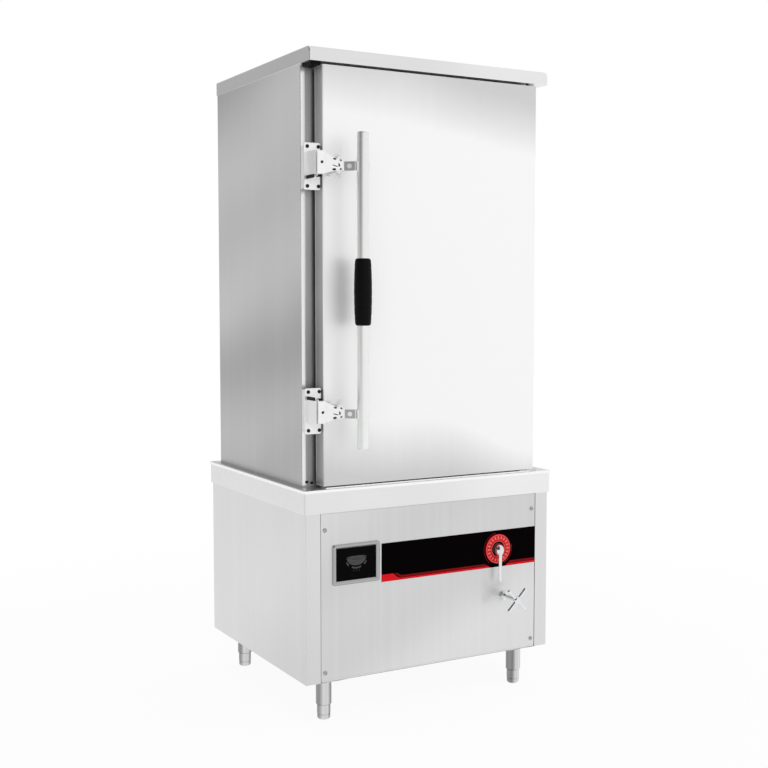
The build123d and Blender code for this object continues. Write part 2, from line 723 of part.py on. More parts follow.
def runner_rack():
    """The left rack: two posts on the liner's wall that carry one angle runner for each tray."""
    wall = -CHAMBER_SIDE
    inside = wall + RACK_POST_T
    top = RUNNER_FIRST_Z + (RUNNER_LEVELS - 1) * RUNNER_PITCH + RUNNER_LIP
    low = RUNNER_FIRST_Z - RUNNER_T
    rack = Part()
    for y in (RUNNER_FRONT + RACK_POST_INSET, RUNNER_BACK - RACK_POST_INSET):
        rack += slab(wall, inside, y - RACK_POST_W / 2, y + RACK_POST_W / 2, low, top)
    for level in range(RUNNER_LEVELS):
        z = RUNNER_FIRST_Z + level * RUNNER_PITCH
        ledge = slab(inside, inside + RUNNER_W, RUNNER_FRONT, RUNNER_BACK, z - RUNNER_T, z)
        web = slab(inside, inside + RUNNER_T, RUNNER_FRONT, RUNNER_BACK, z - RUNNER_T, z + RUNNER_LIP)
        rack += ledge + web
    return rack


def steam_vent():
    """The vent tube from the chamber's back wall, out through the rear panel."""
    end = CAB_BACK + VENT_PROUD
    tube = bar_y(VENT_X, VENT_Z, CHAMBER_BACK, end, VENT_R)
    flange = bar_y(VENT_X, VENT_Z, CHAMBER_BACK - 1.5, CHAMBER_BACK, VENT_R + 8.0)
    return tube + flange - bar_y(VENT_X, VENT_Z, CHAMBER_BACK - 5, end + 5, VENT_R - VENT_WALL)


# Door
def door_outer_skin():
    """The door's outside: a tray with soft edges and a flange turned in at the back."""
    x = DOOR_SIDE
    skin = slab(-x, x, DOOR_FRONT, DOOR_REAR - SHEET, DOOR_BOTTOM, DOOR_TOP)
    skin = fillet(skin.edges().filter_by(Axis.Z).group_by(Axis.Y)[0], DOOR_EDGE_R)
    skin -= slab(-x + SHEET, x - SHEET, DOOR_FRONT + SHEET, DOOR_REAR - 2 * SHEET,
                 DOOR_BOTTOM + SHEET, DOOR_TOP - SHEET)
    rim = SHEET + DOOR_FLANGE
    skin -= slab(-x + rim, x - rim, DOOR_REAR - 3 * SHEET, DOOR_REAR, DOOR_BOTTOM + rim, DOOR_TOP - rim)
    for z in (DOOR_BOTTOM, DOOR_TOP):
        skin -= bar_z(HINGE_X, HINGE_Y, z - 5, z + 5, HINGE_BUSH_R)
    return skin


def door_inner_skin():
    """The door's inside: a sheet with a pressed panel that enters the chamber's mouth inside the seal."""
    x = DOOR_SIDE
    sheet = slab(-x, x, DOOR_REAR - SHEET, DOOR_REAR, DOOR_BOTTOM, DOOR_TOP)
    side = CHAMBER_SIDE - DOOR_PLUG_INSET
    low = CHAMBER_FLOOR + DOOR_PLUG_INSET
    high = CHAMBER_CEILING - DOOR_PLUG_INSET
    face = DOOR_REAR + DOOR_PLUG_DEPTH
    plug = slab(-side, side, DOOR_REAR, face, low, high)
    plug = fillet(plug.edges().filter_by(Axis.Y), 14.0)
    plug = fillet(plug.edges().group_by(Axis.Y)[-1], 4.0)
    t = SHEET
    hollow = slab(-side + t, side - t, DOOR_REAR - t, face - t, low + t, high - t)
    hollow = fillet(hollow.edges().filter_by(Axis.Y), 12.5)
    return sheet + plug - hollow


def door_core():
    """The door's insulation, cut out where the hinge bushes sit."""
    x = DOOR_SIDE - SHEET
    core = slab(-x, x, DOOR_FRONT + SHEET, DOOR_REAR - 2 * SHEET, DOOR_BOTTOM + SHEET, DOOR_TOP - SHEET)
    for z in (DOOR_BOTTOM, DOOR_TOP):
        core -= bar_z(HINGE_X, HINGE_Y, z - HINGE_BUSH_H - 4, z + HINGE_BUSH_H + 4, HINGE_BUSH_R)
    return core


def door_gasket():
    """The door seal: a closed ring of black rubber with rounded lips towards the frame."""
    lip = FRAME_FACE - BODY_GAP
    outer = SEAL_SIDE + GASKET_W
    low = CHAMBER_FLOOR - GASKET_LAP
    high = CHAMBER_CEILING + GASKET_LAP
    ring = slab(-outer, outer, DOOR_REAR, lip, low - GASKET_W, high + GASKET_W)
    ring = fillet(ring.edges().filter_by(Axis.Y), GASKET_W)
    ring = fillet(ring.edges().group_by(Axis.Y)[-1], GASKET_EDGE_R)
    inside = slab(-SEAL_SIDE, SEAL_SIDE, DOOR_REAR, lip, low, high)
    return ring - inside


def hinge_plate(z0):
    """A flat hinge plate with the pin's hole and two screw holes."""
    x0 = HINGE_X - HINGE_PLATE_W / 2
    y0 = HINGE_Y - HINGE_INSET / 2
    plate = slab(x0, x0 + HINGE_PLATE_W, y0, y0 + HINGE_PLATE_D, z0, z0 + HINGE_PLATE_T)
    plate = chamfer(plate.edges().filter_by(Axis.Z), 4.0)
    plate -= bar_z(HINGE_X, HINGE_Y, z0 - 1, z0 + HINGE_PLATE_T + 1, HINGE_PIN_R)
    for x in (HINGE_X - HINGE_PLATE_HOLE_X, HINGE_X + HINGE_PLATE_HOLE_X):
        plate -= bar_z(x, y0 + HINGE_PLATE_D / 2, z0 - 1, z0 + HINGE_PLATE_T + 1, HINGE_SCREW_R)
    return plate


def hinge_plates():
    """The lower plate lies on the worktop, the upper one inside the cap's overhang."""
    return Part() + [hinge_plate(RIM_TOP), hinge_plate(CAB_TOP + SHEET)]


def hinge_pins():
    """A pin in each hinge plate, which stands in the door's bush."""
    low_end = DOOR_BOTTOM + HINGE_BUSH_H
    high_end = DOOR_TOP - HINGE_BUSH_H
    lower = chamfer(bar_z(HINGE_X, HINGE_Y, RIM_TOP, low_end, HINGE_PIN_R).edges().group_by(Axis.Z)[-1], 1.0)
    upper = bar_z(HINGE_X, HINGE_Y, high_end, CAB_TOP + SHEET + HINGE_PLATE_T, HINGE_PIN_R)
    upper = chamfer(upper.edges().group_by(Axis.Z)[0], 1.0)
    return Part() + [lower, upper]


def hinge_bushes():
    """A collared bush in each end of the door."""
    plate_top = RIM_TOP + HINGE_PLATE_T
    lower = bar_z(HINGE_X, HINGE_Y, DOOR_BOTTOM, DOOR_BOTTOM + HINGE_BUSH_H, HINGE_BUSH_R)
    lower += bar_z(HINGE_X, HINGE_Y, plate_top + BODY_GAP, DOOR_BOTTOM, HINGE_COLLAR_R)
    upper = bar_z(HINGE_X, HINGE_Y, DOOR_TOP - HINGE_BUSH_H, DOOR_TOP, HINGE_BUSH_R)
    upper += bar_z(HINGE_X, HINGE_Y, DOOR_TOP, CAB_TOP - BODY_GAP, HINGE_COLLAR_R)
    bore = bar_z(HINGE_X, HINGE_Y, RIM_TOP, CAP_TOP, HINGE_PIN_R + RUNNING_GAP)
    return Part() + [lower - bore, upper - bore]


# Latches
def keeper(z, head_z):
    """A keeper: an eared plate with a thin-edged guide wall on its left and a short lip on its right.

    The wall and the lip stand level with the arm's head.
    """
    x0 = KEEPER_LEFT
    half = KEEPER_H / 2
    face = KEEPER_FACE_Y
    plate = slab(x0, x0 + KEEPER_W, face, face + KEEPER_T, z - half, z + half)
    plate = fillet(plate.edges().filter_by(Axis.Y), KEEPER_CORNER_R)
    low = head_z - KEEPER_BOX_H / 2
    left = x0 + KEEPER_WALL_INSET
    front = face - KEEPER_WALL_D
    bevel = KEEPER_WALL_T - KEEPER_WALL_EDGE
    outline = Polyline(
        (left, face),
        (left, front),
        (left + KEEPER_WALL_EDGE, front),
        (left + KEEPER_WALL_T, front + bevel),
        (left + KEEPER_WALL_T, face),
        close=True,
    )
    wall = Pos(0, 0, low) * extrude(make_face(outline), amount=KEEPER_BOX_H)
    lip = slab(KEEPER_LIP_X, KEEPER_LIP_X + KEEPER_WALL_T, face - KEEPER_LIP_D, face, low, low + KEEPER_BOX_H)
    body = plate + wall + lip + keeper_spacer(z)
    for x, hole_z in keeper_screw_places(z):
        body -= bar_y(x, hole_z, face - 1, face + KEEPER_T, KEEPER_SCREW_R)
    return body


def keeper_spacer(z):
    """The folded channel welded behind a keeper, which stands on the cabinet's front fold."""
    front = KEEPER_FACE_Y + KEEPER_T
    x0 = -CAB_SIDE + SPACER_INSET
    low = z - SPACER_H / 2
    high = z + SPACER_H / 2
    block = slab(x0, x0 + SPACER_W, front, CAB_FRONT, low, high)
    hollow = slab(x0 + SPACER_T, x0 + SPACER_W - SPACER_T, front + SPACER_T, CAB_FRONT, low, high)
    return block - hollow


def keeper_screw_places(z):
    """The four screws in the ears of one keeper."""
    middle = KEEPER_LEFT + KEEPER_W / 2 + KEEPER_HOLE_SHIFT
    return [(middle + sx * KEEPER_HOLE_X, z + sz * KEEPER_HOLE_Z) for sx in (-1, 1) for sz in (-1, 1)]


def keepers():
    """The upper and the lower keeper, each at its arm."""
    return Part() + [keeper(z, arm_z + HEAD_RAISE) for z, arm_z in zip(KEEPER_ZS, LATCH_ZS)]


def keeper_screws():
    """Black pan-headed screws in the keepers' ears."""
    screws = []
    for keeper_z in KEEPER_ZS:
        for x, z in keeper_screw_places(keeper_z):
            head = bar_y(x, z, KEEPER_FACE_Y - 2, KEEPER_FACE_Y, KEEPER_SCREW_R + 1.8)
            head = chamfer(head.edges().group_by(Axis.Y)[0], 1.0)
            screws.append(head + bar_y(x, z, KEEPER_FACE_Y, KEEPER_FACE_Y + KEEPER_T, KEEPER_SCREW_R))
    return Part() + screws


def latch_bracket(z):
    """The bracket on the door: a base plate and two ears that hold the pivot pin."""
    base_front = DOOR_FRONT - BRACKET_T
    half_w = BRACKET_W / 2
    plate = slab(PIVOT_X - half_w, PIVOT_X + half_w, base_front, DOOR_FRONT, z - BRACKET_H / 2, z + BRACKET_H / 2)
    plate = fillet(plate.edges().filter_by(Axis.Y), 5.0)
    for sx in (-1, 1):
        for sz in (-1, 1):
            x = PIVOT_X + sx * BRACKET_HOLE_X
            plate -= bar_y(x, z + sz * BRACKET_HOLE_Z, base_front - 1, DOOR_FRONT + 1, BRACKET_SCREW_R)
    body = plate
    for side in (-1, 1):
        low = z + side * (KNUCKLE_H / 2 + BODY_GAP + EAR_T / 2) - EAR_T / 2
        ear = slab(PIVOT_X - EAR_R, PIVOT_X + EAR_R, PIVOT_Y, base_front, low, low + EAR_T)
        body += ear + bar_z(PIVOT_X, PIVOT_Y, low, low + EAR_T, EAR_R)
    return body - bar_z(PIVOT_X, PIVOT_Y, z - KNUCKLE_H, z + KNUCKLE_H, PIVOT_PIN_R)


def latch_brackets():
    """One bracket for each latch."""
    return Part() + [latch_bracket(z) for z in LATCH_ZS]


def latch_bracket_screws():
    """Countersunk-looking flat screws that hold the brackets on the door."""
    screws = []
    base_front = DOOR_FRONT - BRACKET_T
    for latch_z in LATCH_ZS:
        for sx in (-1, 1):
            for sz in (-1, 1):
                x = PIVOT_X + sx * BRACKET_HOLE_X
                z = latch_z + sz * BRACKET_HOLE_Z
                head = chamfer(bar_y(x, z, base_front - 1.6, base_front, 4.0).edges().group_by(Axis.Y)[0], 0.8)
                screws.append(head + bar_y(x, z, base_front, DOOR_FRONT, BRACKET_SCREW_R))
    return Part() + screws


def latch_pins():
    """A headed pivot pin through each bracket and arm."""
    pins = []
    reach = KNUCKLE_H / 2 + BODY_GAP + EAR_T
    for z in LATCH_ZS:
        pin = bar_z(PIVOT_X, PIVOT_Y, z - reach, z + reach, PIVOT_PIN_R)
        for side in (-1, 1):
            end = z + side * reach
            pin += bar_z(PIVOT_X, PIVOT_Y, end, end + side * PIN_HEAD_T, PIN_HEAD_R)
        pins.append(pin)
    return Part() + pins


def latch_arm(z):
    """The arm: a head block at the keeper, a web that tapers to the pivot pin, and a lower strap out to the pole."""
    mid_y = PIVOT_Y - ARM_T
    head_z = z + HEAD_RAISE
    head_front = KEEPER_FACE_Y - KEEPER_WALL_D
    head = slab(HEAD_LEFT, HEAD_LEFT + HEAD_W, head_front, head_front + HEAD_T,
                head_z - HEAD_H / 2, head_z + HEAD_H / 2)
    head = fillet(head.edges().group_by(Axis.Y)[0], 2.0)
    plug_x = HEAD_LEFT + HEAD_W * 0.62
    head -= bar_y(plug_x, head_z + 1, head_front - 1, head_front + 3, HEAD_PLUG_R)
    root = HEAD_LEFT + HEAD_W - 2
    tall = HEAD_H / 2 - 1.5
    low = WEB_H / 2
    web_outline = Polyline(
        (root, head_z - tall),
        (PIVOT_X - WEB_INSET, z - low),
        (PIVOT_X + WEB_INSET, z - low + 1.5),
        (PIVOT_X + WEB_INSET, z + low - 1.5),
        (PIVOT_X - WEB_INSET, z + low),
        (root, head_z + tall),
        close=True,
    )
    web = Pos(0, mid_y + ARM_T / 2, 0) * extrude(Plane.XZ * make_face(web_outline), amount=ARM_T)
    knuckle = bar_z(PIVOT_X, PIVOT_Y, z - KNUCKLE_H / 2, z + KNUCKLE_H / 2, KNUCKLE_R)
    body = head + web + knuckle + latch_strap(z - STRAP_DROP, mid_y)
    return body - bar_z(PIVOT_X, PIVOT_Y, z - KNUCKLE_H, z + KNUCKLE_H, PIVOT_PIN_R + RUNNING_GAP)


def latch_strap(z, mid_y):
    """The strap, bent out from the web to the pole, with a round boss on its outer face."""
    start = (PIVOT_X + WEB_INSET, mid_y)
    bend = (PIVOT_X + STRAP_BEND, mid_y)
    end = (POLE_X - POLE_R - 2.0, POLE_Y + 4.0)
    path = FilletPolyline(start, bend, end, radius=STRAP_BEND_R)
    strap = Pos(0, 0, z - ARM_H / 2) * extrude(trace(path, ARM_T), amount=ARM_H)
    turn = math.degrees(math.atan2(end[1] - bend[1], end[0] - bend[0]))
    boss = Pos(0, -ARM_T / 2 - BOSS_T / 2, 0) * Rot(90, 0, 0) * Cylinder(BOSS_R, BOSS_T)
    middle = Pos((bend[0] + end[0]) / 2, (bend[1] + end[1]) / 2, z)
    return strap + middle * Rot(0, 0, turn) * boss


def latch_arms():
    """The upper and the lower arm are the same piece."""
    return Part() + [latch_arm(z) for z in LATCH_ZS]


def pole_clamps():
    """The saddles behind the pole that hold it in the straps."""
    clamps = []
    for z in LATCH_ZS:
        low = z - STRAP_DROP - CLAMP_H / 2
        outer = POLE_R + CLAMP_WALL
        collar = bar_z(POLE_X, POLE_Y, low, low + CLAMP_H, outer)
        collar = chamfer(collar.edges().group_by(Axis.Z)[0] + collar.edges().group_by(Axis.Z)[-1], 0.8)
        collar -= bar_z(POLE_X, POLE_Y, low - 1, low + CLAMP_H + 1, POLE_R)
        collar -= slab(POLE_X - outer, POLE_X + outer, POLE_Y - outer, POLE_Y - CLAMP_OPEN, low - 1, low + CLAMP_H + 1)
        clamps.append(collar - latch_arm(z))
    return Part() + clamps


def pole():
    """The long handle tube, with a shallow groove above and below each strap."""
    tube = bar_z(POLE_X, POLE_Y, POLE_BOTTOM + POLE_CAP_H, POLE_TOP - POLE_CAP_H, POLE_R)
    tube -= bar_z(POLE_X, POLE_Y, POLE_BOTTOM, POLE_TOP, POLE_R - POLE_WALL)
    for z in pole_groove_places():
        ring = bar_z(POLE_X, POLE_Y, z, z + POLE_GROOVE_W, POLE_R + 1)
        tube -= ring - bar_z(POLE_X, POLE_Y, z, z + POLE_GROOVE_W, POLE_R - POLE_GROOVE)
    return tube


def pole_groove_places():
    """Where the handle's end sleeves begin and end."""
    upper, lower = LATCH_ZS
    return (upper + 17.5, upper + 54.5, lower - 25.5, lower - 67.5)


def pole_caps():
    """Bevelled plugs in the ends of the pole."""
    plugs = []
    for end, side in ((POLE_TOP, 1), (POLE_BOTTOM, -1)):
        rim = end - side * POLE_CAP_H
        cap = bar_z(POLE_X, POLE_Y, rim, end, POLE_R)
        outer = cap.edges().sort_by(Axis.Z)[-1 if side > 0 else 0]
        cap = chamfer(outer, POLE_CAP_H - 1.0)
        plugs.append(cap + bar_z(POLE_X, POLE_Y, rim, rim - side * POLE_PLUG_H, POLE_R - POLE_WALL))
    return Part() + plugs


def grip():
    """The moulded grip: a barrel that swells in the middle, with rounded ends, on the pole."""
    middle = (GRIP_BOTTOM + GRIP_TOP) / 2
    ends = 6.0
    swell = ThreePointArc((GRIP_END_R, GRIP_BOTTOM + ends), (GRIP_R, middle), (GRIP_END_R, GRIP_TOP - ends))
    outline = swell
    outline += Line((GRIP_END_R, GRIP_TOP - ends), (GRIP_END_R - 2.5, GRIP_TOP))
    outline += Line((GRIP_END_R - 2.5, GRIP_TOP), (POLE_R, GRIP_TOP))
    outline += Line((POLE_R, GRIP_TOP), (POLE_R, GRIP_BOTTOM))
    outline += Line((POLE_R, GRIP_BOTTOM), (GRIP_END_R - 2.5, GRIP_BOTTOM))
    outline += Line((GRIP_END_R - 2.5, GRIP_BOTTOM), (GRIP_END_R, GRIP_BOTTOM + ends))
    barrel = revolve(Plane.XZ * make_face(outline), axis=Axis.Z)
    return Pos(POLE_X, POLE_Y, 0) * barrel


# Controls on the front panel
def display_box(grow, y0, y1):
    """A block round the middle of the display, larger than its glass by an amount on each side."""
    half_w = DISPLAY_W / 2 - DISPLAY_RIM + grow
    half_h = DISPLAY_H / 2 - DISPLAY_RIM + grow
    return slab(DISPLAY_X - half_w, DISPLAY_X + half_w, y0, y1, DISPLAY_Z - half_h, DISPLAY_Z + half_h)


def display_bezel():
    """The bright frame round the display, bevelled outwards."""
    bezel = display_box(DISPLAY_RIM, PANEL_FACE - DISPLAY_PROUD, PANEL_FACE)
    bezel = fillet(bezel.edges().filter_by(Axis.Y), DISPLAY_CORNER_R)
    bezel = chamfer(bezel.edges().group_by(Axis.Y)[0], DISPLAY_BEVEL)
    return bezel - display_box(0, PANEL_FACE - 20, PANEL_FACE + 1)


def display_lens():
    """The dark display glass with its housing behind the panel."""
    glass = display_box(0, PANEL_FACE - DISPLAY_GLASS_PROUD, PANEL_FACE)
    return glass + display_box(-DISPLAY_BODY_INSET, PANEL_FACE, PANEL_FACE + DISPLAY_BODY_D)


def control_strip():
    """The thin black overlay to the right of the display."""
    strip = slab(STRIP_LEFT, PANEL_SIDE, PANEL_FACE - STRIP_T, PANEL_FACE, STRIP_BOTTOM, STRIP_TOP)
    return strip - bar_y(DIAL_X, DIAL_Z, PANEL_FACE - 5, PANEL_FACE + 5, SWITCH_BOSS_R)


def dial_ring():
    """The printed ring round the power lever."""
    face = PANEL_FACE - STRIP_T
    ring = bar_y(DIAL_X, DIAL_Z, face - DIAL_T, face, DIAL_R)
    ring = chamfer(ring.edges().group_by(Axis.Y)[0], 1.2)
    return ring - bar_y(DIAL_X, DIAL_Z, face - 10, face + 1, DIAL_HOLE_R)


def switch_body():
    """The rotary switch: a block behind the panel with a round boss and the lever's bore."""
    half = SWITCH_BODY / 2
    back = PANEL_FACE + SHEET
    block = slab(DIAL_X - half, DIAL_X + half, back, back + SWITCH_BODY_D, DIAL_Z - half, DIAL_Z + half)
    block = fillet(block.edges().filter_by(Axis.Y), 5.0)
    boss_front = PANEL_FACE - STRIP_T - 1.0
    boss = bar_y(DIAL_X, DIAL_Z, boss_front, back, SWITCH_BOSS_R)
    return block + boss - bar_y(DIAL_X, DIAL_Z, boss_front - 1, back + 20.0, SWITCH_SHAFT_R + RUNNING_GAP)


def switch_lever():
    """The power lever: an egg-shaped hub on a shaft, with a tapered finger hanging down from it."""
    hub_back = PANEL_FACE - STRIP_T - 1.0 - BODY_GAP
    hub_front = hub_back - LEVER_HUB_T
    hub = loft([
        Plane(origin=(DIAL_X, hub_back, DIAL_Z), z_dir=(0, -1, 0)) * Circle(LEVER_HUB_R),
        Plane(origin=(DIAL_X, hub_front, DIAL_Z), z_dir=(0, -1, 0)) * Circle(LEVER_HUB_R - 2.5),
    ])
    hub = fillet(hub.edges().group_by(Axis.Y)[0], 4.0)
    root = LEVER_ROOT_W / 2
    tip = LEVER_TIP_W / 2
    finger = make_face(Polyline((-root, 0), (root, 0), (tip, -LEVER_LENGTH + tip), (-tip, -LEVER_LENGTH + tip),
                                close=True))
    finger += Pos(0, -LEVER_LENGTH + tip) * Circle(tip)
    front = Plane(origin=(DIAL_X, hub_back - LEVER_SET_BACK + LEVER_T / 2, DIAL_Z), x_dir=(1, 0, 0),
                  z_dir=(0, -1, 0))
    lever = extrude(front * finger, amount=LEVER_T)
    shaft = bar_y(DIAL_X, DIAL_Z, hub_back, PANEL_FACE + SHEET + 18.0, SWITCH_SHAFT_R)
    return hub + lever + shaft


def tap_body():
    """The tap behind the panel: body, bonnet through the panel, clamp nut and side outlet to the feed tank."""
    back = PANEL_FACE + SHEET + TAP_BODY_D
    bonnet_front = PANEL_FACE - TAP_BONNET_PROUD
    body = bar_y(TAP_X, TAP_Z, bonnet_front, PANEL_FACE + SHEET, TAP_BONNET_R)
    body = chamfer(body.edges().group_by(Axis.Y)[0], 2.0)
    body += hex_y(TAP_X, TAP_Z, PANEL_FACE - TAP_NUT_T, PANEL_FACE, TAP_NUT_R)
    body += bar_y(TAP_X, TAP_Z, PANEL_FACE + SHEET, back, TAP_BODY_R)
    outlet_y = PANEL_FACE + SHEET + TAP_BODY_D / 2
    body += bar_x(outlet_y, TAP_Z, TANK_RIGHT, TAP_X, LINK_R)
    return body - bar_y(TAP_X, TAP_Z, bonnet_front - 1, PANEL_FACE + 24.0, TAP_STEM_R + RUNNING_GAP)


def tap_handle():
    """The cross handle: a hub with four flared spokes on the tap's stem."""
    hub_front = TAP_HANDLE_Y - TAP_HUB_T / 2
    hub = bar_y(TAP_X, TAP_Z, hub_front, TAP_HANDLE_Y + TAP_HUB_T / 2, TAP_HUB_R)
    hub = chamfer(hub.edges().group_by(Axis.Y)[0], 2.5)
    outline = Polyline(
        (0, 0),
        (TAP_SPOKE_ROOT_R, 0),
        (TAP_SPOKE_TIP_R, TAP_SPOKE_REACH - TAP_SPOKE_BEVEL),
        (TAP_SPOKE_TIP_R - TAP_SPOKE_BEVEL, TAP_SPOKE_REACH),
        (0, TAP_SPOKE_REACH),
        close=True,
    )
    spoke = revolve(Plane.XZ * make_face(outline), axis=Axis.Z)
    handle = hub
    for turn in (45, 135, 225, 315):
        handle += Pos(TAP_X, TAP_HANDLE_Y, TAP_Z) * Rot(0, turn, 0) * spoke
    return handle + bar_y(TAP_X, TAP_Z, TAP_HANDLE_Y, PANEL_FACE + 20.0, TAP_STEM_R)


def water_pipe():
    """The supply pipe: a bulkhead fitting with a nut each side of the back panel, and a thin tube on to the tap."""
    front = PANEL_FACE + SHEET + TAP_BODY_D
    nut_end = BASE_BACK + PIPE_NUT_T
    end = nut_end + PIPE_STUB
    stub = bar_y(TAP_X, TAP_Z, nut_end, end, PIPE_STUB_R)
    stub = chamfer(stub.edges().group_by(Axis.Y)[-1], 1.0)
    inner_nut = BASE_BACK - SHEET
    fitting = stub + hex_y(TAP_X, TAP_Z, BASE_BACK, nut_end, PIPE_NUT_R)
    fitting += bar_y(TAP_X, TAP_Z, inner_nut, BASE_BACK, PIPE_NECK_R)
    fitting += hex_y(TAP_X, TAP_Z, inner_nut - PIPE_NUT_T, inner_nut, PIPE_NUT_R)
    pipe = fitting + bar_y(TAP_X, TAP_Z, front, inner_nut, PIPE_R)
    return pipe - bar_y(TAP_X, TAP_Z, front - 1, end + 1, PIPE_R - PIPE_WALL)


# Boiler and feed tank
def boiler_tank():
    """The boiler: a welded tank with rounded corners and a neck that carries steam up into the chamber."""
    half = BOILER_D / 2
    tank = slab(BOILER_LEFT, BOILER_RIGHT, -half, half, BOILER_BOTTOM, BOILER_TOP)
    tank = fillet(tank.edges().filter_by(Axis.Z), BOILER_CORNER_R)
    w = BOILER_WALL
    hollow = slab(BOILER_LEFT + w, BOILER_RIGHT - w, -half + w, half - w, BOILER_BOTTOM + w, BOILER_TOP - w)
    hollow = fillet(hollow.edges().filter_by(Axis.Z), BOILER_CORNER_R - w)
    neck = bar_z(NECK_X, NECK_Y, BOILER_TOP - w, CHAMBER_FLOOR, NECK_R)
    foot_half = BOILER_FOOT / 2
    foot_block = [
        slab(x - foot_half, x + foot_half, y - foot_half, y + foot_half, FLOOR_FACE, BOILER_BOTTOM)
        for x in (BOILER_LEFT + BOILER_FOOT_INSET, BOILER_RIGHT - BOILER_FOOT_INSET)
        for y in (-half + BOILER_FOOT, half - BOILER_FOOT)
    ]
    body = tank - hollow + neck + foot_block
    return body - bar_z(NECK_X, NECK_Y, BOILER_TOP - 2 * w, CHAMBER_FLOOR + 1, NECK_R - w)


def steam_diffuser():
    """The cap over the steam inlet, with a row of holes round its wall."""
    low = CHAMBER_FLOOR
    cap = bar_z(NECK_X, NECK_Y, low, low + DIFFUSER_H, DIFFUSER_R)
    cap = chamfer(cap.edges().group_by(Axis.Z)[-1], DIFFUSER_BEVEL)
    inside = bar_z(NECK_X, NECK_Y, low - 1, low + DIFFUSER_H - SHEET, DIFFUSER_R - SHEET)
    cap -= chamfer(inside.edges().group_by(Axis.Z)[-1], DIFFUSER_BEVEL)
    for index in range(DIFFUSER_HOLES):
        turn = index * 360.0 / DIFFUSER_HOLES
        hole = Pos(DIFFUSER_R, 0, low + DIFFUSER_H / 2) * Rot(0, 90, 0) * Cylinder(DIFFUSER_HOLE_R, 12)
        cap -= Pos(NECK_X, NECK_Y, 0) * Rot(0, 0, turn) * hole
    return cap


def feed_tank():
    """The open feed tank beside the boiler, with the float's pivot lugs and a link pipe to the boiler."""
    w = TANK_WALL
    tank = slab(TANK_LEFT, TANK_RIGHT, TANK_FRONT, TANK_BACK, TANK_BOTTOM, TANK_TOP)
    tank -= slab(TANK_LEFT + w, TANK_RIGHT - w, TANK_FRONT + w, TANK_BACK - w, TANK_BOTTOM + w, TANK_TOP + 1)
    tank += bar_x(LINK_Y, LINK_Z, BOILER_RIGHT, TANK_LEFT, LINK_R)
    tank -= bar_x(LINK_Y, LINK_Z, BOILER_RIGHT - 1, TANK_LEFT + w + 1, LINK_R - w)
    leg_half = TANK_LEG_W / 2
    for x in (TANK_LEFT + leg_half, TANK_RIGHT - leg_half):
        for y in (TANK_FRONT + leg_half + TANK_LEG_SETBACK, TANK_BACK - leg_half):
            tank += slab(x - leg_half, x + leg_half, y - leg_half, y + leg_half, FLOOR_FACE, TANK_BOTTOM)
    near = FLOAT_LUG_GAP / 2
    far = near + FLOAT_LUG_T
    lug_r = FLOAT_PIVOT_R + FLOAT_EYE_WALL + 1
    for side in (-1, 1):
        x0 = FLOAT_PIVOT_X + side * near
        x1 = FLOAT_PIVOT_X + side * far
        low = FLOAT_PIVOT_Z - lug_r
        tank += slab(x0, x1, FLOAT_PIVOT_Y - lug_r, TANK_BACK - w, low, low + 2 * lug_r)
    return tank + bar_x(FLOAT_PIVOT_Y, FLOAT_PIVOT_Z, FLOAT_PIVOT_X - far, FLOAT_PIVOT_X + far, FLOAT_PIVOT_R)


def float_arm():
    """The float: a bevelled drum on an arm, whose eye turns on the pin between the lugs."""
    eye_r = FLOAT_PIVOT_R + FLOAT_EYE_WALL
    half = FLOAT_LUG_GAP / 2 - BODY_GAP
    eye = bar_x(FLOAT_PIVOT_Y, FLOAT_PIVOT_Z, FLOAT_PIVOT_X - half, FLOAT_PIVOT_X + half, eye_r)
    ball_y = FLOAT_PIVOT_Y - FLOAT_REACH
    ball_z = FLOAT_PIVOT_Z - FLOAT_DROP
    rise = math.degrees(math.atan2(FLOAT_PIVOT_Z - ball_z, FLOAT_REACH))
    length = math.hypot(FLOAT_REACH, FLOAT_PIVOT_Z - ball_z)
    middle = Pos(FLOAT_PIVOT_X, (FLOAT_PIVOT_Y + ball_y) / 2, (FLOAT_PIVOT_Z + ball_z) / 2)
    arm = middle * Rot(90 + rise, 0, 0) * Cylinder(FLOAT_ARM_R, length)
    reach = FLOAT_LENGTH / 2
    drum = bar_x(ball_y, ball_z, FLOAT_PIVOT_X - reach, FLOAT_PIVOT_X + reach, FLOAT_R)
    body = eye + arm + chamfer(drum.edges().group_by(Axis.X)[0] + drum.edges().group_by(Axis.X)[-1], FLOAT_BEVEL)
    return body - bar_x(FLOAT_PIVOT_Y, FLOAT_PIVOT_Z, FLOAT_PIVOT_X - 20, FLOAT_PIVOT_X + 20,
                        FLOAT_PIVOT_R + RUNNING_GAP)


# Heating, power and cooling
def induction_coil():
    """The coil under the boiler: a flat winding with its turns shown as ridges, on a carrier disc and posts."""
    x = BOILER_X
    disc = bar_z(x, 0, COIL_BOTTOM - CARRIER_T, COIL_BOTTOM, COIL_R + 6)
    winding = bar_z(x, 0, COIL_BOTTOM, COIL_TOP, COIL_R) - bar_z(x, 0, COIL_BOTTOM, COIL_TOP, COIL_HOLE_R)
    step = (COIL_R - COIL_HOLE_R) / COIL_RIDGES
    for ridge in range(1, COIL_RIDGES):
        r = COIL_HOLE_R + ridge * step
        groove = bar_z(x, 0, COIL_TOP - 2, COIL_TOP, r + 1) - bar_z(x, 0, COIL_TOP - 2, COIL_TOP, r - 1)
        winding -= groove
    body = disc + winding
    for turn in (0, 120, 240):
        post = bar_z(COIL_R - CARRIER_POST_INSET, 0, FLOOR_FACE, COIL_BOTTOM - CARRIER_T, CARRIER_POST_R)
        body += Pos(x, 0, 0) * Rot(0, 0, turn) * post
    return body


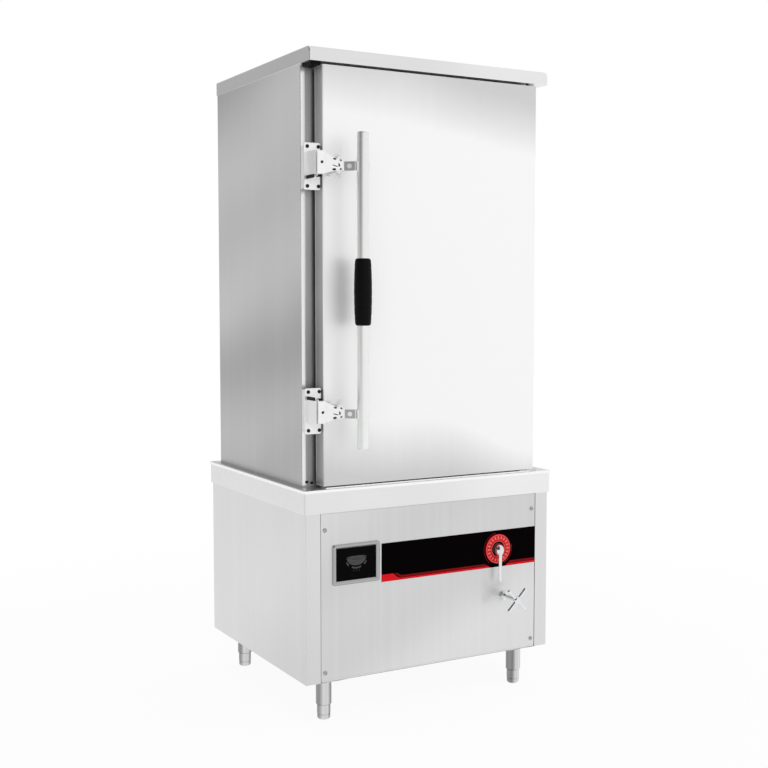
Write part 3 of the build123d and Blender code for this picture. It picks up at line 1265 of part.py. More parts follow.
def power_unit():
    """The power unit: a closed box on the floor with cooling fins on top."""
    low = FLOOR_FACE
    top = low + POWER_H
    back = POWER_FRONT + POWER_D
    box = slab(POWER_LEFT, POWER_LEFT + POWER_W, POWER_FRONT, back, low, top)
    box = fillet(box.edges().filter_by(Axis.Z), 4.0)
    pitch = (POWER_W - FIN_T) / (FIN_COUNT - 1)
    for index in range(FIN_COUNT):
        x = POWER_LEFT + index * pitch
        box += slab(x, x + FIN_T, POWER_FRONT + 6, back - 6, top, top + FIN_H)
    return box


def fan_housing():
    """The fan's square frame with its round duct, and the three-armed spider that carries the shaft."""
    half = FAN_SIZE / 2
    frame = slab(FAN_X - half, FAN_X + half, FAN_FRONT, FAN_BACK, FAN_Z - half, FAN_Z + half)
    frame = fillet(frame.edges().filter_by(Axis.Y), 6.0)
    frame -= bar_y(FAN_X, FAN_Z, FAN_FRONT - 1, FAN_BACK + 1, FAN_DUCT_R)
    spider_back = FAN_BACK
    spider_front = FAN_BACK - FAN_SPIDER_T
    frame += bar_y(FAN_X, FAN_Z, spider_front, spider_back, FAN_HUB_R)
    for turn in (0, 120, 240):
        arm = slab(-3, 3, spider_front, spider_back, 0, FAN_DUCT_R + 2)
        frame += Pos(FAN_X, 0, FAN_Z) * Rot(0, turn, 0) * arm
    frame += bar_y(FAN_X, FAN_Z, FAN_FRONT + 6, spider_front, FAN_SHAFT_R)
    return frame


def fan_rotor():
    """The fan's rotor: a cupped hub with seven pitched blades."""
    back = FAN_BACK - FAN_SPIDER_T - 2.0
    front = FAN_FRONT + 4.0
    rotor = bar_y(FAN_X, FAN_Z, front, back, FAN_HUB_R)
    rotor = fillet(rotor.edges().group_by(Axis.Y)[0], 3.0)
    span = FAN_ROTOR_R - FAN_HUB_R + 4.0
    chord = (back - front) * 0.8
    mid = (back + front) / 2
    blade = Rot(0, 0, FAN_BLADE_PITCH) * Box(FAN_BLADE_T, chord, span)
    blade = Pos(0, mid, FAN_HUB_R - 4.0 + span / 2) * blade
    for index in range(FAN_BLADES):
        rotor += Pos(FAN_X, 0, FAN_Z) * Rot(0, index * 360.0 / FAN_BLADES, 0) * blade
    return rotor - bar_y(FAN_X, FAN_Z, front - 1, back + 1, FAN_SHAFT_R + RUNNING_GAP)


# Rear fittings
def drain_tap():
    """The drain: a pipe from the boiler's floor, out through the back panel, with a ball valve on its end."""
    w = DRAIN_PIPE_WALL
    elbow_y = BOILER_D / 2 - DRAIN_INSET
    drop = bar_z(DRAIN_X, elbow_y, DRAIN_Z, BOILER_BOTTOM, DRAIN_PIPE_R)
    run = bar_y(DRAIN_X, DRAIN_Z, elbow_y, REAR_REACH, DRAIN_PIPE_R)
    elbow = Pos(DRAIN_X, elbow_y, DRAIN_Z) * Sphere(DRAIN_PIPE_R)
    ball = Pos(DRAIN_X, DRAIN_BALL_Y, DRAIN_Z) * Sphere(DRAIN_BALL_R)
    body = drop + run + elbow + ball
    stem_top = DRAIN_Z + DRAIN_BALL_R + DRAIN_STEM_PROUD
    body += bar_z(DRAIN_X, DRAIN_BALL_Y, DRAIN_Z, stem_top, DRAIN_STEM_R + 4.0)
    body -= bar_y(DRAIN_X, DRAIN_Z, DRAIN_BALL_Y + 4.0, REAR_REACH + 1, DRAIN_PIPE_R - w)
    return body - bar_z(DRAIN_X, DRAIN_BALL_Y, DRAIN_Z + 6, stem_top + 1, DRAIN_STEM_R + RUNNING_GAP)


def drain_lever():
    """The drain's flat lever on its stem; it turns level about the stem."""
    low = DRAIN_Z + DRAIN_BALL_R + DRAIN_STEM_PROUD + BODY_GAP
    half = DRAIN_LEVER_W / 2
    bar = slab(DRAIN_X, DRAIN_X + DRAIN_LEVER_L, DRAIN_BALL_Y - half, DRAIN_BALL_Y + half,
               low, low + DRAIN_LEVER_T)
    bar = fillet(bar.edges().filter_by(Axis.Z).group_by(Axis.X)[-1], half - 1.0)
    bar += bar_z(DRAIN_X, DRAIN_BALL_Y, low, low + DRAIN_LEVER_T + 3, half + 1.5)
    return bar + bar_z(DRAIN_X, DRAIN_BALL_Y, DRAIN_Z + 10, low, DRAIN_STEM_R)


def cable_gland():
    """The gland for the supply cable: a nut each side of the back panel and a domed clamp, bored through."""
    end = BASE_BACK + GLAND_PROUD
    gland = bar_y(GLAND_X, GLAND_Z, BASE_BACK - SHEET - 10, end, GLAND_BORE_R + 3.0)
    gland += hex_y(GLAND_X, GLAND_Z, BASE_BACK, BASE_BACK + 8.0, GLAND_R)
    gland += hex_y(GLAND_X, GLAND_Z, BASE_BACK - SHEET - 6.0, BASE_BACK - SHEET, GLAND_R)
    dome = bar_y(GLAND_X, GLAND_Z, BASE_BACK + 8.0, end, GLAND_R - 2.0)
    gland += chamfer(dome.edges().group_by(Axis.Y)[-1], 4.0)
    return gland - bar_y(GLAND_X, GLAND_Z, BASE_BACK - 20, end + 1, GLAND_BORE_R)


def pieces():
    """Every piece by its node's name."""
    left_base = base_side_panel()
    left_cabinet = cabinet_side_panel()
    left_rack = runner_rack()
    return {
        "leg_tubes": leg_tubes(),
        "foot_front_left": foot(-LEG_X, -LEG_Y),
        "foot_front_right": foot(LEG_X, -LEG_Y),
        "foot_rear_left": foot(-LEG_X, LEG_Y),
        "foot_rear_right": foot(LEG_X, LEG_Y),
        "base_left_panel": left_base,
        "base_right_panel": mirrored(left_base),
        "base_frame": base_frame(),
        "base_floor_pan": base_floor_pan(),
        "base_back_panel": base_back_panel(),
        "front_panel": front_panel(),
        "front_panel_screws": front_panel_screws(),
        "worktop_rim": worktop_rim(),
        "cabinet_left_panel": left_cabinet,
        "cabinet_right_panel": mirrored(left_cabinet),
        "cabinet_rear_panel": cabinet_rear_panel(),
        "top_cap": top_cap(),
        "front_frame": front_frame(),
        "inner_liner": inner_liner(),
        "insulation_jacket": insulation_jacket(),
        "left_runner_rack": left_rack,
        "right_runner_rack": mirrored(left_rack),
        "steam_vent": steam_vent(),
        "door_outer_skin": door_outer_skin(),
        "door_inner_skin": door_inner_skin(),
        "door_core": door_core(),
        "door_gasket": door_gasket(),
        "hinge_plates": hinge_plates(),
        "hinge_pins": hinge_pins(),
        "hinge_bushes": hinge_bushes(),
        "keepers": keepers(),
        "keeper_screws": keeper_screws(),
        "latch_brackets": latch_brackets(),
        "latch_bracket_screws": latch_bracket_screws(),
        "latch_pins": latch_pins(),
        "latch_arms": latch_arms(),
        "pole_clamps": pole_clamps(),
        "pole": pole(),
        "pole_caps": pole_caps(),
        "grip": grip(),
        "display_bezel": display_bezel(),
        "display_lens": display_lens(),
        "control_strip": control_strip(),
        "dial_ring": dial_ring(),
        "switch_body": switch_body(),
        "switch_lever": switch_lever(),
        "tap_body": tap_body(),
        "tap_handle": tap_handle(),
        "water_pipe": water_pipe(),
        "boiler_tank": boiler_tank(),
        "steam_diffuser": steam_diffuser(),
        "feed_tank": feed_tank(),
        "float_arm": float_arm(),
        "induction_coil": induction_coil(),
        "power_unit": power_unit(),
        "fan_housing": fan_housing(),
        "fan_rotor": fan_rotor(),
        "drain_tap": drain_tap(),
        "drain_lever": drain_lever(),
        "cable_gland": cable_gland(),
    }


def main():
    """Build every piece, move it to the cabinet's origin and write it."""
    os.makedirs("parts", exist_ok=True)
    for name, shape in pieces().items():
        export_step(Pos(0, ORIGIN_SHIFT_Y, 0) * shape, f"parts/{name}.step")


if __name__ == "__main__":
    main()
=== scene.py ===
"""Looks of a free-standing steam cabinet: brushed steel sheets, door latch with its long pole, controls and feet.

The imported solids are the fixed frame. This script gives each of them a finish, builds the finer pieces as
surfaces worked out with numpy, and sets up a pale floor, soft lamps and the camera.
"""

import json
import logging
import math
from dataclasses import dataclass
from enum import Enum
from typing import Iterable, Sequence

import bmesh
import bpy
import numpy as np
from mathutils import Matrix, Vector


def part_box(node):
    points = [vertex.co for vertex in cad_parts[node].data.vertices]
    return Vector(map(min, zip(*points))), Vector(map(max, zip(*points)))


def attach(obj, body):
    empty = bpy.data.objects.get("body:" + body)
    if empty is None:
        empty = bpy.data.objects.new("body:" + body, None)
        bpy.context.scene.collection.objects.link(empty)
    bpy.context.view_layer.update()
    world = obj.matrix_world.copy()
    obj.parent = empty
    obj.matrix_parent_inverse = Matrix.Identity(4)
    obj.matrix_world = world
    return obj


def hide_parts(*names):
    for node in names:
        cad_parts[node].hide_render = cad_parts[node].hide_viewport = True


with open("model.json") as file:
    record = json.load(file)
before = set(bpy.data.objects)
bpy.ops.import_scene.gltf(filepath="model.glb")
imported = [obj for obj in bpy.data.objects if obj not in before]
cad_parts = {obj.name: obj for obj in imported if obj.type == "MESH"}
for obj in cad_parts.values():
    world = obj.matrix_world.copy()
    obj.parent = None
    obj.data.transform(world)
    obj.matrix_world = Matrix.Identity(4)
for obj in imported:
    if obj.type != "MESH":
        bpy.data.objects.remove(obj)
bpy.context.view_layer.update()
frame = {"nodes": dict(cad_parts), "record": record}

LOG = logging.getLogger("steam_cabinet")
MM = 0.001
TURN = 2 * math.pi
WELD = 1e-6
STRAIGHT = 1e-3
SUNK = 0.1 * MM
PRINT_SUNK = 0.05 * MM
PRINT_PROUD = 0.12 * MM

Colour = tuple[float, float, float]
Point = tuple[float, float, float]
Faces = list[list[int]]
Shell = tuple[np.ndarray, Faces]
Tree = bpy.types.NodeTree
Socket = bpy.types.NodeSocket
Value = Socket | float


def tone(red: float, green: float | None = None, blue: float | None = None) -> Colour:
    """Turn screen values of 0 to 255 into a linear colour.

    Formula: below 0.04045 the value over 12.92, above it ((value + 0.055) / 1.055) to the power 2.4.

    Args:
        red: The red screen value, and the grey one where the others are left out.
        green: The green screen value.
        blue: The blue screen value.

    Returns:
        The linear colour.
    """
    screen = np.array([red, red if green is None else green, red if blue is None else blue]) / 255.0
    linear = np.where(screen <= 0.04045, screen / 12.92, ((screen + 0.055) / 1.055) ** 2.4)
    return tuple(float(v) for v in linear)


class Facing(Enum):
    """Where a piece's depth points. Each value holds the directions of across, up and depth."""

    FRONT = ((1, 0, 0), (0, 0, 1), (0, -1, 0))
    BACK = ((-1, 0, 0), (0, 0, 1), (0, 1, 0))
    LEFT = ((0, -1, 0), (0, 0, 1), (-1, 0, 0))
    UP = ((1, 0, 0), (0, 1, 0), (0, 0, 1))
    DOWN = ((1, 0, 0), (0, -1, 0), (0, 0, -1))

    def place(self, across: np.ndarray, up: np.ndarray, depth: np.ndarray, centre: Point) -> np.ndarray:
        """Place local coordinates in the object's frame.

        Formula: centre + across times the first direction + up times the second + depth times the third.

        Args:
            across: Local coordinates sideways.
            up: Local coordinates upwards.
            depth: Local coordinates out of the face.
            centre: The place of the local origin.

        Returns:
            Points, one row each.
        """
        basis = np.array(self.value, float)
        local = np.stack(np.broadcast_arrays(across, up, depth), axis=-1).reshape(-1, 3)
        return local @ basis + np.array(centre, float)


def grid_faces(rows: int, columns: int, wrap: bool = True) -> Faces:
    """Quads between neighbouring rows and columns of a grid of points.

    Args:
        rows: Number of rows.
        columns: Number of points in a row.
        wrap: Whether the last column joins the first.

    Returns:
        The quads as lists of point numbers.
    """
    row, column = np.meshgrid(np.arange(rows - 1), np.arange(columns if wrap else columns - 1), indexing="ij")
    following = (column + 1) % columns
    quads = np.stack([
        row * columns + column, row * columns + following,
        (row + 1) * columns + following, (row + 1) * columns + column,
    ], axis=-1)
    return quads.reshape(-1, 4).tolist()


def rounded(corners: Sequence[tuple[float, float]], radii: Sequence[float] | float, steps: int = 5,
            closed: bool = True) -> np.ndarray:
    """Round the corners of a flat outline with arcs.

    Formula: at each corner the arc touches both sides at radius / tan(half the angle between them), and runs from
    one touching point to the other about its centre in equal turns.

    Args:
        corners: The corner points in order.
        radii: One radius for all corners, or one for each.
        steps: Number of spans in each arc.
        closed: Whether the last corner joins the first. The ends of an open outline stay sharp.

    Returns:
        The outline's points, one row each.
    """
    points = np.array(corners, float)
    count = len(points)
    sizes = np.full(count, radii) if np.isscalar(radii) else np.array(radii, float)
    spans: list[np.ndarray] = []
    for index in range(count):
        here = points[index]
        if sizes[index] <= 0 or (not closed and index in (0, count - 1)):
            spans.append(here[None, :])
            continue
        back = points[index - 1] - here
        ahead = points[(index + 1) % count] - here
        back /= np.linalg.norm(back)
        ahead /= np.linalg.norm(ahead)
        half = math.acos(float(np.clip(back @ ahead, -1, 1))) / 2
        if half > math.pi / 2 - STRAIGHT:
            spans.append(here[None, :])
            continue
        centre = here + (back + ahead) / np.linalg.norm(back + ahead) * sizes[index] / math.sin(half)
        start = here + back * sizes[index] / math.tan(half) - centre
        end = here + ahead * sizes[index] / math.tan(half) - centre
        sweep = math.atan2(start[0] * end[1] - start[1] * end[0], float(start @ end))
        angle = np.linspace(0, sweep, steps + 1)[:, None]
        spans.append(centre + np.cos(angle) * start + np.sin(angle) * np.array([-start[1], start[0]]))
    return np.concatenate(spans)


def rectangle(width: float, height: float, radius: float, steps: int = 5) -> np.ndarray:
    """An upright rectangle about the origin with rounded corners, anticlockwise."""
    x, z = width / 2, height / 2
    return rounded([(-x, -z), (x, -z), (x, z), (-x, z)], radius, steps)


def outward(outline: np.ndarray) -> np.ndarray:
    """Unit directions out of an anticlockwise outline.

    Formula: the chord between each point's neighbours, turned a quarter clockwise and brought to length 1.

    Args:
        outline: Points, one row each.

    Returns:
        Directions, one row each.
    """
    chord = np.roll(outline, -1, axis=0) - np.roll(outline, 1, axis=0)
    normal = np.stack([chord[:, 1], -chord[:, 0]], axis=1)
    return normal / np.maximum(np.linalg.norm(normal, axis=1, keepdims=True), 1e-12)


def lathe(profile: np.ndarray, centre: Point, facing: Facing, steps: int = 48) -> Shell:
    """Turn a profile about an axis.

    Formula: across = radius times cos of the turn, up = radius times sin of the turn, depth = the profile's depth.

    Args:
        profile: Rows of radius and depth, in order along the surface.
        centre: The axis's foot.
        facing: The axis's direction.
        steps: Number of spans round the axis.

    Returns:
        Points and faces. A profile that starts and ends at radius 0 gives a closed surface.
    """
    turn = np.linspace(0, TURN, steps, endpoint=False)
    radius, depth = profile[:, 0, None], profile[:, 1, None]
    points = facing.place(radius * np.cos(turn), radius * np.sin(turn), depth + 0 * turn, centre)
    return points, grid_faces(len(profile), steps)


def plate(outline: np.ndarray, layers: Sequence[tuple[float, float]], centre: Point, facing: Facing) -> Shell:
    """A solid plate whose edge follows a small profile.

    Formula: each ring is the outline moved outwards by the layer's first number, at the depth of its second.

    Args:
        outline: Anticlockwise points, one row each.
        layers: Pairs of outward move and depth, from the back to the front.
        centre: The place of the local origin.
        facing: The direction of the depth.

    Returns:
        Points and faces, closed at both ends by one flat face each.
    """
    move = np.array(layers, float)
    rings = outline[None] + outward(outline)[None] * move[:, 0, None, None]
    depth = np.broadcast_to(move[:, 1, None], rings.shape[:2])
    count = len(outline)
    faces = grid_faces(len(move), count)
    last = (len(move) - 1) * count
    faces += [list(range(count))[::-1], list(range(last, last + count))]
    return facing.place(rings[..., 0], rings[..., 1], depth, centre), faces


def skin(outline: np.ndarray, sunk: float, proud: float, centre: Point, facing: Facing) -> Shell:
    """A thin flat shape that reaches from a little behind its seat to a little before it."""
    return plate(outline, [(0.0, -sunk), (0.0, proud)], centre, facing)


def frame_sweep(outline: np.ndarray, profile: np.ndarray, centre: Point, facing: Facing) -> Shell:
    """Carry a closed profile along a closed outline, as for a bezel or a seal.

    Formula: point = outline + outward direction times the profile's first number, at the depth of its second.

    Args:
        outline: Anticlockwise points, one row each.
        profile: Rows of outward move and depth that close on themselves.
        centre: The place of the local origin.
        facing: The direction of the depth.

    Returns:
        Points and faces of a closed ring.
    """
    closed = np.concatenate([profile, profile[:1]])
    rings = outline[None] + outward(outline)[None] * closed[:, 0, None, None]
    depth = np.broadcast_to(closed[:, 1, None], rings.shape[:2])
    return facing.place(rings[..., 0], rings[..., 1], depth, centre), grid_faces(len(closed), len(outline))


def tube(path: np.ndarray, wide: np.ndarray, thick: np.ndarray, side: Point, steps: int = 24) -> Shell:
    """Carry an ellipse of changing size along a path.

    Formula: point = path + side direction times wide times cos + the cross of tangent and side times thick times
    sin, for a full turn of the angle.

    Args:
        path: Points of the middle line.
        wide: Half width of the section along the side direction, at each path point.
        thick: Half thickness across it, at each path point.
        side: The section's side direction, the same all along.
        steps: Number of spans round the section.

    Returns:
        Points and faces. The ends close where both sizes are 0.
    """
    tangent = np.gradient(path, axis=0)
    tangent /= np.linalg.norm(tangent, axis=1, keepdims=True)
    across = np.array(side, float)
    over = np.cross(tangent, across)
    over /= np.linalg.norm(over, axis=1, keepdims=True)
    turn = np.linspace(0, TURN, steps, endpoint=False)
    ring = (path[:, None] + across * (wide[:, None] * np.cos(turn))[..., None]
            + over[:, None] * (thick[:, None] * np.sin(turn))[..., None])
    return ring.reshape(-1, 3), grid_faces(len(path), steps)


def turned(shell: Shell, degrees: float, place: Point) -> Shell:
    """Turn a shell about the upright axis through the origin, then move it to a place.

    Formula: point = the shell's point turned by the angle, + place.

    Args:
        shell: Points and faces.
        degrees: The turn's angle.
        place: Where the origin goes.

    Returns:
        The moved points and the same faces.
    """
    angle = math.radians(degrees)
    spin = np.array([[math.cos(angle), math.sin(angle), 0], [-math.sin(angle), math.cos(angle), 0], [0, 0, 1]])
    return shell[0] @ spin + np.array(place, float), shell[1]


HEAD_STEPS = 48
HEAD_ROWS = 15
SLOT_HALF = 1 / 7
SLOT_REACH = 0.6


def dimpled_head(radius: float, height: float, recess: float, arms: int, centre: Point, facing: Facing) -> Shell:
    """A domed screw head with a driver's recess.

    Formula: depth = height times the root of 1 - 0.75 (r / radius) squared, less the recess where the point lies in
    one of the slots |r sin(turn - slot)| < radius / 7 and r < 0.6 radius. The rim drops to the seat.

    Args:
        radius: The head's radius.
        height: The dome's height.
        recess: The recess's depth.
        arms: Number of slots that cross: 1 for a slotted head, 2 for a cross, 3 for a six-lobed socket.
        centre: The middle of the head's seat.
        facing: The direction of the screw's axis, out of the head.

    Returns:
        Points and faces of a closed head.
    """
    turn = np.linspace(0, TURN, HEAD_STEPS, endpoint=False)
    reach = np.linspace(0, 1, HEAD_ROWS)[:, None]
    crown = height * np.sqrt(1 - 0.75 * reach ** 2) + 0 * turn
    slot = np.zeros_like(crown, bool)
    for arm in range(arms):
        slot |= np.abs(reach * np.sin(turn - arm * math.pi / arms)) < SLOT_HALF
    crown = np.where(slot & (reach < SLOT_REACH), crown - recess, crown)
    rows = np.concatenate([reach + 0 * turn, np.ones((1, HEAD_STEPS)), np.zeros((1, HEAD_STEPS))]) * radius
    depth = np.concatenate([crown, np.zeros((2, HEAD_STEPS))])
    points = facing.place(rows * np.cos(turn), rows * np.sin(turn), depth, centre)
    return points, grid_faces(len(rows), HEAD_STEPS)


def blunt(way: np.ndarray, share: float) -> np.ndarray:
    """The share of a rod's size along its way: 0 at the hidden root, 1, and a half round over the last share.

    Formula: the root of 1 - (1 - t) squared, where t = (1 - way) / share, held between 0 and 1.

    Args:
        way: The share of the way at each point, from 0 to 1.
        share: The rounded tip's share of the way.

    Returns:
        The share of the size at each point.
    """
    tip = np.clip((1 - way) / share, 0, 1)
    size = np.sqrt(1 - (1 - tip) ** 2)
    size[0] = 0
    return size


def sector(inner: float, outer: float, start: float, end: float, steps: int = 24) -> np.ndarray:
    """The outline of a flat ring's sector about the origin, anticlockwise.

    Formula: an arc at the outer radius from start to end, then an arc at the inner radius back.

    Args:
        inner: The inner radius.
        outer: The outer radius.
        start: The first angle in degrees.
        end: The last angle in degrees.
        steps: Number of spans in each arc.

    Returns:
        The outline's points, one row each.
    """
    angle = np.radians(np.linspace(start, end, steps + 1))
    arc = np.stack([np.cos(angle), np.sin(angle)], axis=1)
    return np.concatenate([arc * outer, arc[::-1] * inner])


def build_mesh(name: str, shells: Iterable[Shell]) -> bpy.types.Mesh:
    """Join shells into one mesh, close seams and poles, and turn every face outwards.

    Args:
        name: The mesh's name.
        shells: Points and faces of each shell.

    Returns:
        The new mesh.
    """
    points: list[np.ndarray] = []
    faces: Faces = []
    base = 0
    for shell_points, shell_faces in shells:
        points.append(shell_points)
        faces += [[base + corner for corner in face] for face in shell_faces]
        base += len(shell_points)
    mesh = bpy.data.meshes.new(name)
    mesh.from_pydata(np.concatenate(points).tolist(), [], faces)
    work = bmesh.new()
    work.from_mesh(mesh)
    bmesh.ops.remove_doubles(work, verts=work.verts, dist=WELD)
    bmesh.ops.dissolve_degenerate(work, edges=work.edges, dist=WELD)
    bmesh.ops.recalc_face_normals(work, faces=work.faces)
    work.to_mesh(mesh)
    work.free()
    mesh.update()
    return mesh


class NodeGroups:
    """The shader and geometry node groups that several finishes and pieces share. Each is built once."""

    swerve_scale: float = 1.6
    quick_rate: float = 3.3
    quick_share: float = 0.14
    chip_scale: float = 60.0
    chip_gain: float = 4.0
    dust_scale: float = 9.0
    dust_base: float = 0.12
    crease: float = 28.0

    def __init__(self) -> None:
        """Build every group."""
        self.grain = self._grain()
        self.painted_sheen = self._painted_sheen()
        self.wear = self._wear()
        self.dust = self._dust()
        self.speckle = self._speckle()
        self.smooth = self._smooth()

    @staticmethod
    def _shell(name: str, kind: str, inputs: Sequence[tuple[str, str]],
               outputs: Sequence[tuple[str, str]]) -> tuple[Tree, bpy.types.Node, bpy.types.Node]:
        """An empty group with its sockets.

        Args:
            name: The group's name.
            kind: The tree type.
            inputs: Names and socket types of the inputs.
            outputs: Names and socket types of the outputs.

        Returns:
            The group, its input node and its output node.
        """
        group = bpy.data.node_groups.new(name, kind)
        for label, socket in inputs:
            group.interface.new_socket(label, in_out="INPUT", socket_type=socket)
        for label, socket in outputs:
            group.interface.new_socket(label, in_out="OUTPUT", socket_type=socket)
        return group, group.nodes.new("NodeGroupInput"), group.nodes.new("NodeGroupOutput")

    @staticmethod
    def noise(tree: Tree, place: Socket, scale: float, detail: float = 2.0) -> Socket:
        """A Noise node that reads the given coordinates.

        Args:
            tree: The tree that gets the node.
            place: The socket of the coordinates.
            scale: How many features a metre holds.
            detail: How many finer layers it has.

        Returns:
            The value's socket.
        """
        node = tree.nodes.new("ShaderNodeTexNoise")
        node.inputs["Scale"].default_value = scale
        node.inputs["Detail"].default_value = detail
        tree.links.new(place, node.inputs["Vector"])
        return node.outputs["Fac"]

    @staticmethod
    def dot(tree: Tree, first: Socket, second: Socket | Point) -> Socket:
        """The dot product of a socket with a socket or a fixed direction.

        Args:
            tree: The tree that gets the node.
            first: A vector's socket.
            second: A vector's socket, or a fixed vector.

        Returns:
            The result's socket.
        """
        node = tree.nodes.new("ShaderNodeVectorMath")
        node.operation = "DOT_PRODUCT"
        tree.links.new(first, node.inputs[0])
        if isinstance(second, tuple):
            node.inputs[1].default_value = second
        else:
            tree.links.new(second, node.inputs[1])
        return node.outputs["Value"]

    @staticmethod
    def ramp(tree: Tree, value: Socket, start: float, end: float, first: float, last: float) -> Socket:
        """A smooth step of a value.

        Args:
            tree: The tree that gets the node.
            value: The value's socket.
            start: The value up to which the result is first.
            end: The value from which on the result is last.
            first: The result before the step.
            last: The result after it.

        Returns:
            The result's socket.
        """
        node = tree.nodes.new("ShaderNodeMapRange")
        node.interpolation_type = "SMOOTHSTEP"
        for socket, number in (("From Min", start), ("From Max", end), ("To Min", first), ("To Max", last)):
            node.inputs[socket].default_value = number
        tree.links.new(value, node.inputs["Value"])
        return node.outputs["Result"]

    @staticmethod
    def math(tree: Tree, operation: str, first: Value, second: Value | None = None, clamp: bool = False) -> Socket:
        """A Math node on sockets or numbers.

        Args:
            tree: The tree that gets the node.
            operation: The Math node's operation.
            first: A socket or a number.
            second: A socket or a number, where the operation takes two.
            clamp: Whether the result is held between 0 and 1.

        Returns:
            The result's socket.
        """
        node = tree.nodes.new("ShaderNodeMath")
        node.operation = operation
        node.use_clamp = clamp
        for index, value in enumerate((first, second)):
            if isinstance(value, (int, float)):
                node.inputs[index].default_value = value
            elif value is not None:
                tree.links.new(value, node.inputs[index])
        return node.outputs[0]

    def _grain(self) -> Tree:
        """Brushed lines: noise on coordinates stretched along the brushing, fine for Lines and wide for Streaks."""
        group, given, out = self._shell("brushed_grain", "ShaderNodeTree",
                                        [("Coordinate", "NodeSocketVector"), ("Stretch", "NodeSocketVector")],
                                        [("Lines", "NodeSocketFloat"), ("Streaks", "NodeSocketFloat")])
        for label, share, detail in (("Lines", 1.0, 3.0), ("Streaks", 0.045, 2.0)):
            wide = group.nodes.new("ShaderNodeVectorMath")
            wide.operation = "MULTIPLY"
            scaled = group.nodes.new("ShaderNodeVectorMath")
            scaled.operation = "SCALE"
            scaled.inputs["Scale"].default_value = share
            group.links.new(given.outputs["Coordinate"], wide.inputs[0])
            group.links.new(given.outputs["Stretch"], wide.inputs[1])
            group.links.new(wide.outputs[0], scaled.inputs[0])
            group.links.new(self.noise(group, scaled.outputs[0], 1.0, detail), out.inputs[label])
        return group

    def _painted_sheen(self) -> Tree:
        """Painted reflection bands from 0 to 1: broad soft lighter and darker bands of painted sheen, a sine of the
        distance along a direction, bent by slow noise.

        Formula: 0.5 + 0.5 sin(a) + 0.14 sin(3.3 a), where a = place dot direction + bend (noise - 0.5) + phase.
        """
        group, given, out = self._shell("painted_sheen_bands", "ShaderNodeTree",
                                        [("Coordinate", "NodeSocketVector"), ("Direction", "NodeSocketVector"),
                                         ("Bend", "NodeSocketFloat"), ("Phase", "NodeSocketFloat")],
                                        [("Band", "NodeSocketFloat")])
        along = self.dot(group, given.outputs["Coordinate"], given.outputs["Direction"])
        slow = self.noise(group, given.outputs["Coordinate"], self.swerve_scale, 1.0)
        swerve = self.math(group, "MULTIPLY", self.math(group, "SUBTRACT", slow, 0.5), given.outputs["Bend"])
        turn = self.math(group, "ADD", self.math(group, "ADD", along, swerve), given.outputs["Phase"])
        fast = self.math(group, "SINE", self.math(group, "MULTIPLY", turn, self.quick_rate))
        quick = self.math(group, "MULTIPLY", fast, self.quick_share)
        half = self.math(group, "ADD", self.math(group, "MULTIPLY", self.math(group, "SINE", turn), 0.5), quick)
        group.links.new(self.math(group, "ADD", half, 0.5), out.inputs["Band"])
        return group

    def _wear(self) -> Tree:
        """Worn edges: where the bevelled normal leaves the true one, broken up by noise."""
        group, given, out = self._shell("edge_wear", "ShaderNodeTree",
                                        [("Coordinate", "NodeSocketVector"), ("Width", "NodeSocketFloat")],
                                        [("Edge", "NodeSocketFloat")])
        bevel = group.nodes.new("ShaderNodeBevel")
        bevel.samples = 4
        group.links.new(given.outputs["Width"], bevel.inputs["Radius"])
        true = group.nodes.new("ShaderNodeNewGeometry")
        leave = self.math(group, "SUBTRACT", 1.0, self.dot(group, bevel.outputs["Normal"], true.outputs["Normal"]))
        chips = self.noise(group, given.outputs["Coordinate"], self.chip_scale)
        broken = self.math(group, "MULTIPLY", leave, self.math(group, "ADD", chips, 0.5))
        group.links.new(self.math(group, "MULTIPLY", broken, self.chip_gain, clamp=True), out.inputs["Edge"])
        return group

    def _dust(self) -> Tree:
        """Settled dust: more on faces that look up, in soft patches."""
        group, given, out = self._shell("settled_dust", "ShaderNodeTree", [("Coordinate", "NodeSocketVector")],
                                        [("Dust", "NodeSocketFloat")])
        true = group.nodes.new("ShaderNodeNewGeometry")
        parts = group.nodes.new("ShaderNodeSeparateXYZ")
        group.links.new(true.outputs["Normal"], parts.inputs[0])
        upward = self.math(group, "MAXIMUM", parts.outputs["Z"], 0.0)
        patches = self.noise(group, given.outputs["Coordinate"], self.dust_scale, 4.0)
        settled = self.math(group, "ADD", upward, self.dust_base)
        group.links.new(self.math(group, "MULTIPLY", patches, settled, clamp=True), out.inputs["Dust"])
        return group

    def _speckle(self) -> Tree:
        """Fine pits of castings, mouldings and rubber: round cells of a given size, from 0 in a pit to 1."""
        group, given, out = self._shell("fine_pits", "ShaderNodeTree",
                                        [("Coordinate", "NodeSocketVector"), ("Scale", "NodeSocketFloat")],
                                        [("Pits", "NodeSocketFloat")])
        cells = group.nodes.new("ShaderNodeTexVoronoi")
        group.links.new(given.outputs["Coordinate"], cells.inputs["Vector"])
        group.links.new(given.outputs["Scale"], cells.inputs["Scale"])
        group.links.new(cells.outputs["Distance"], out.inputs["Pits"])
        return group

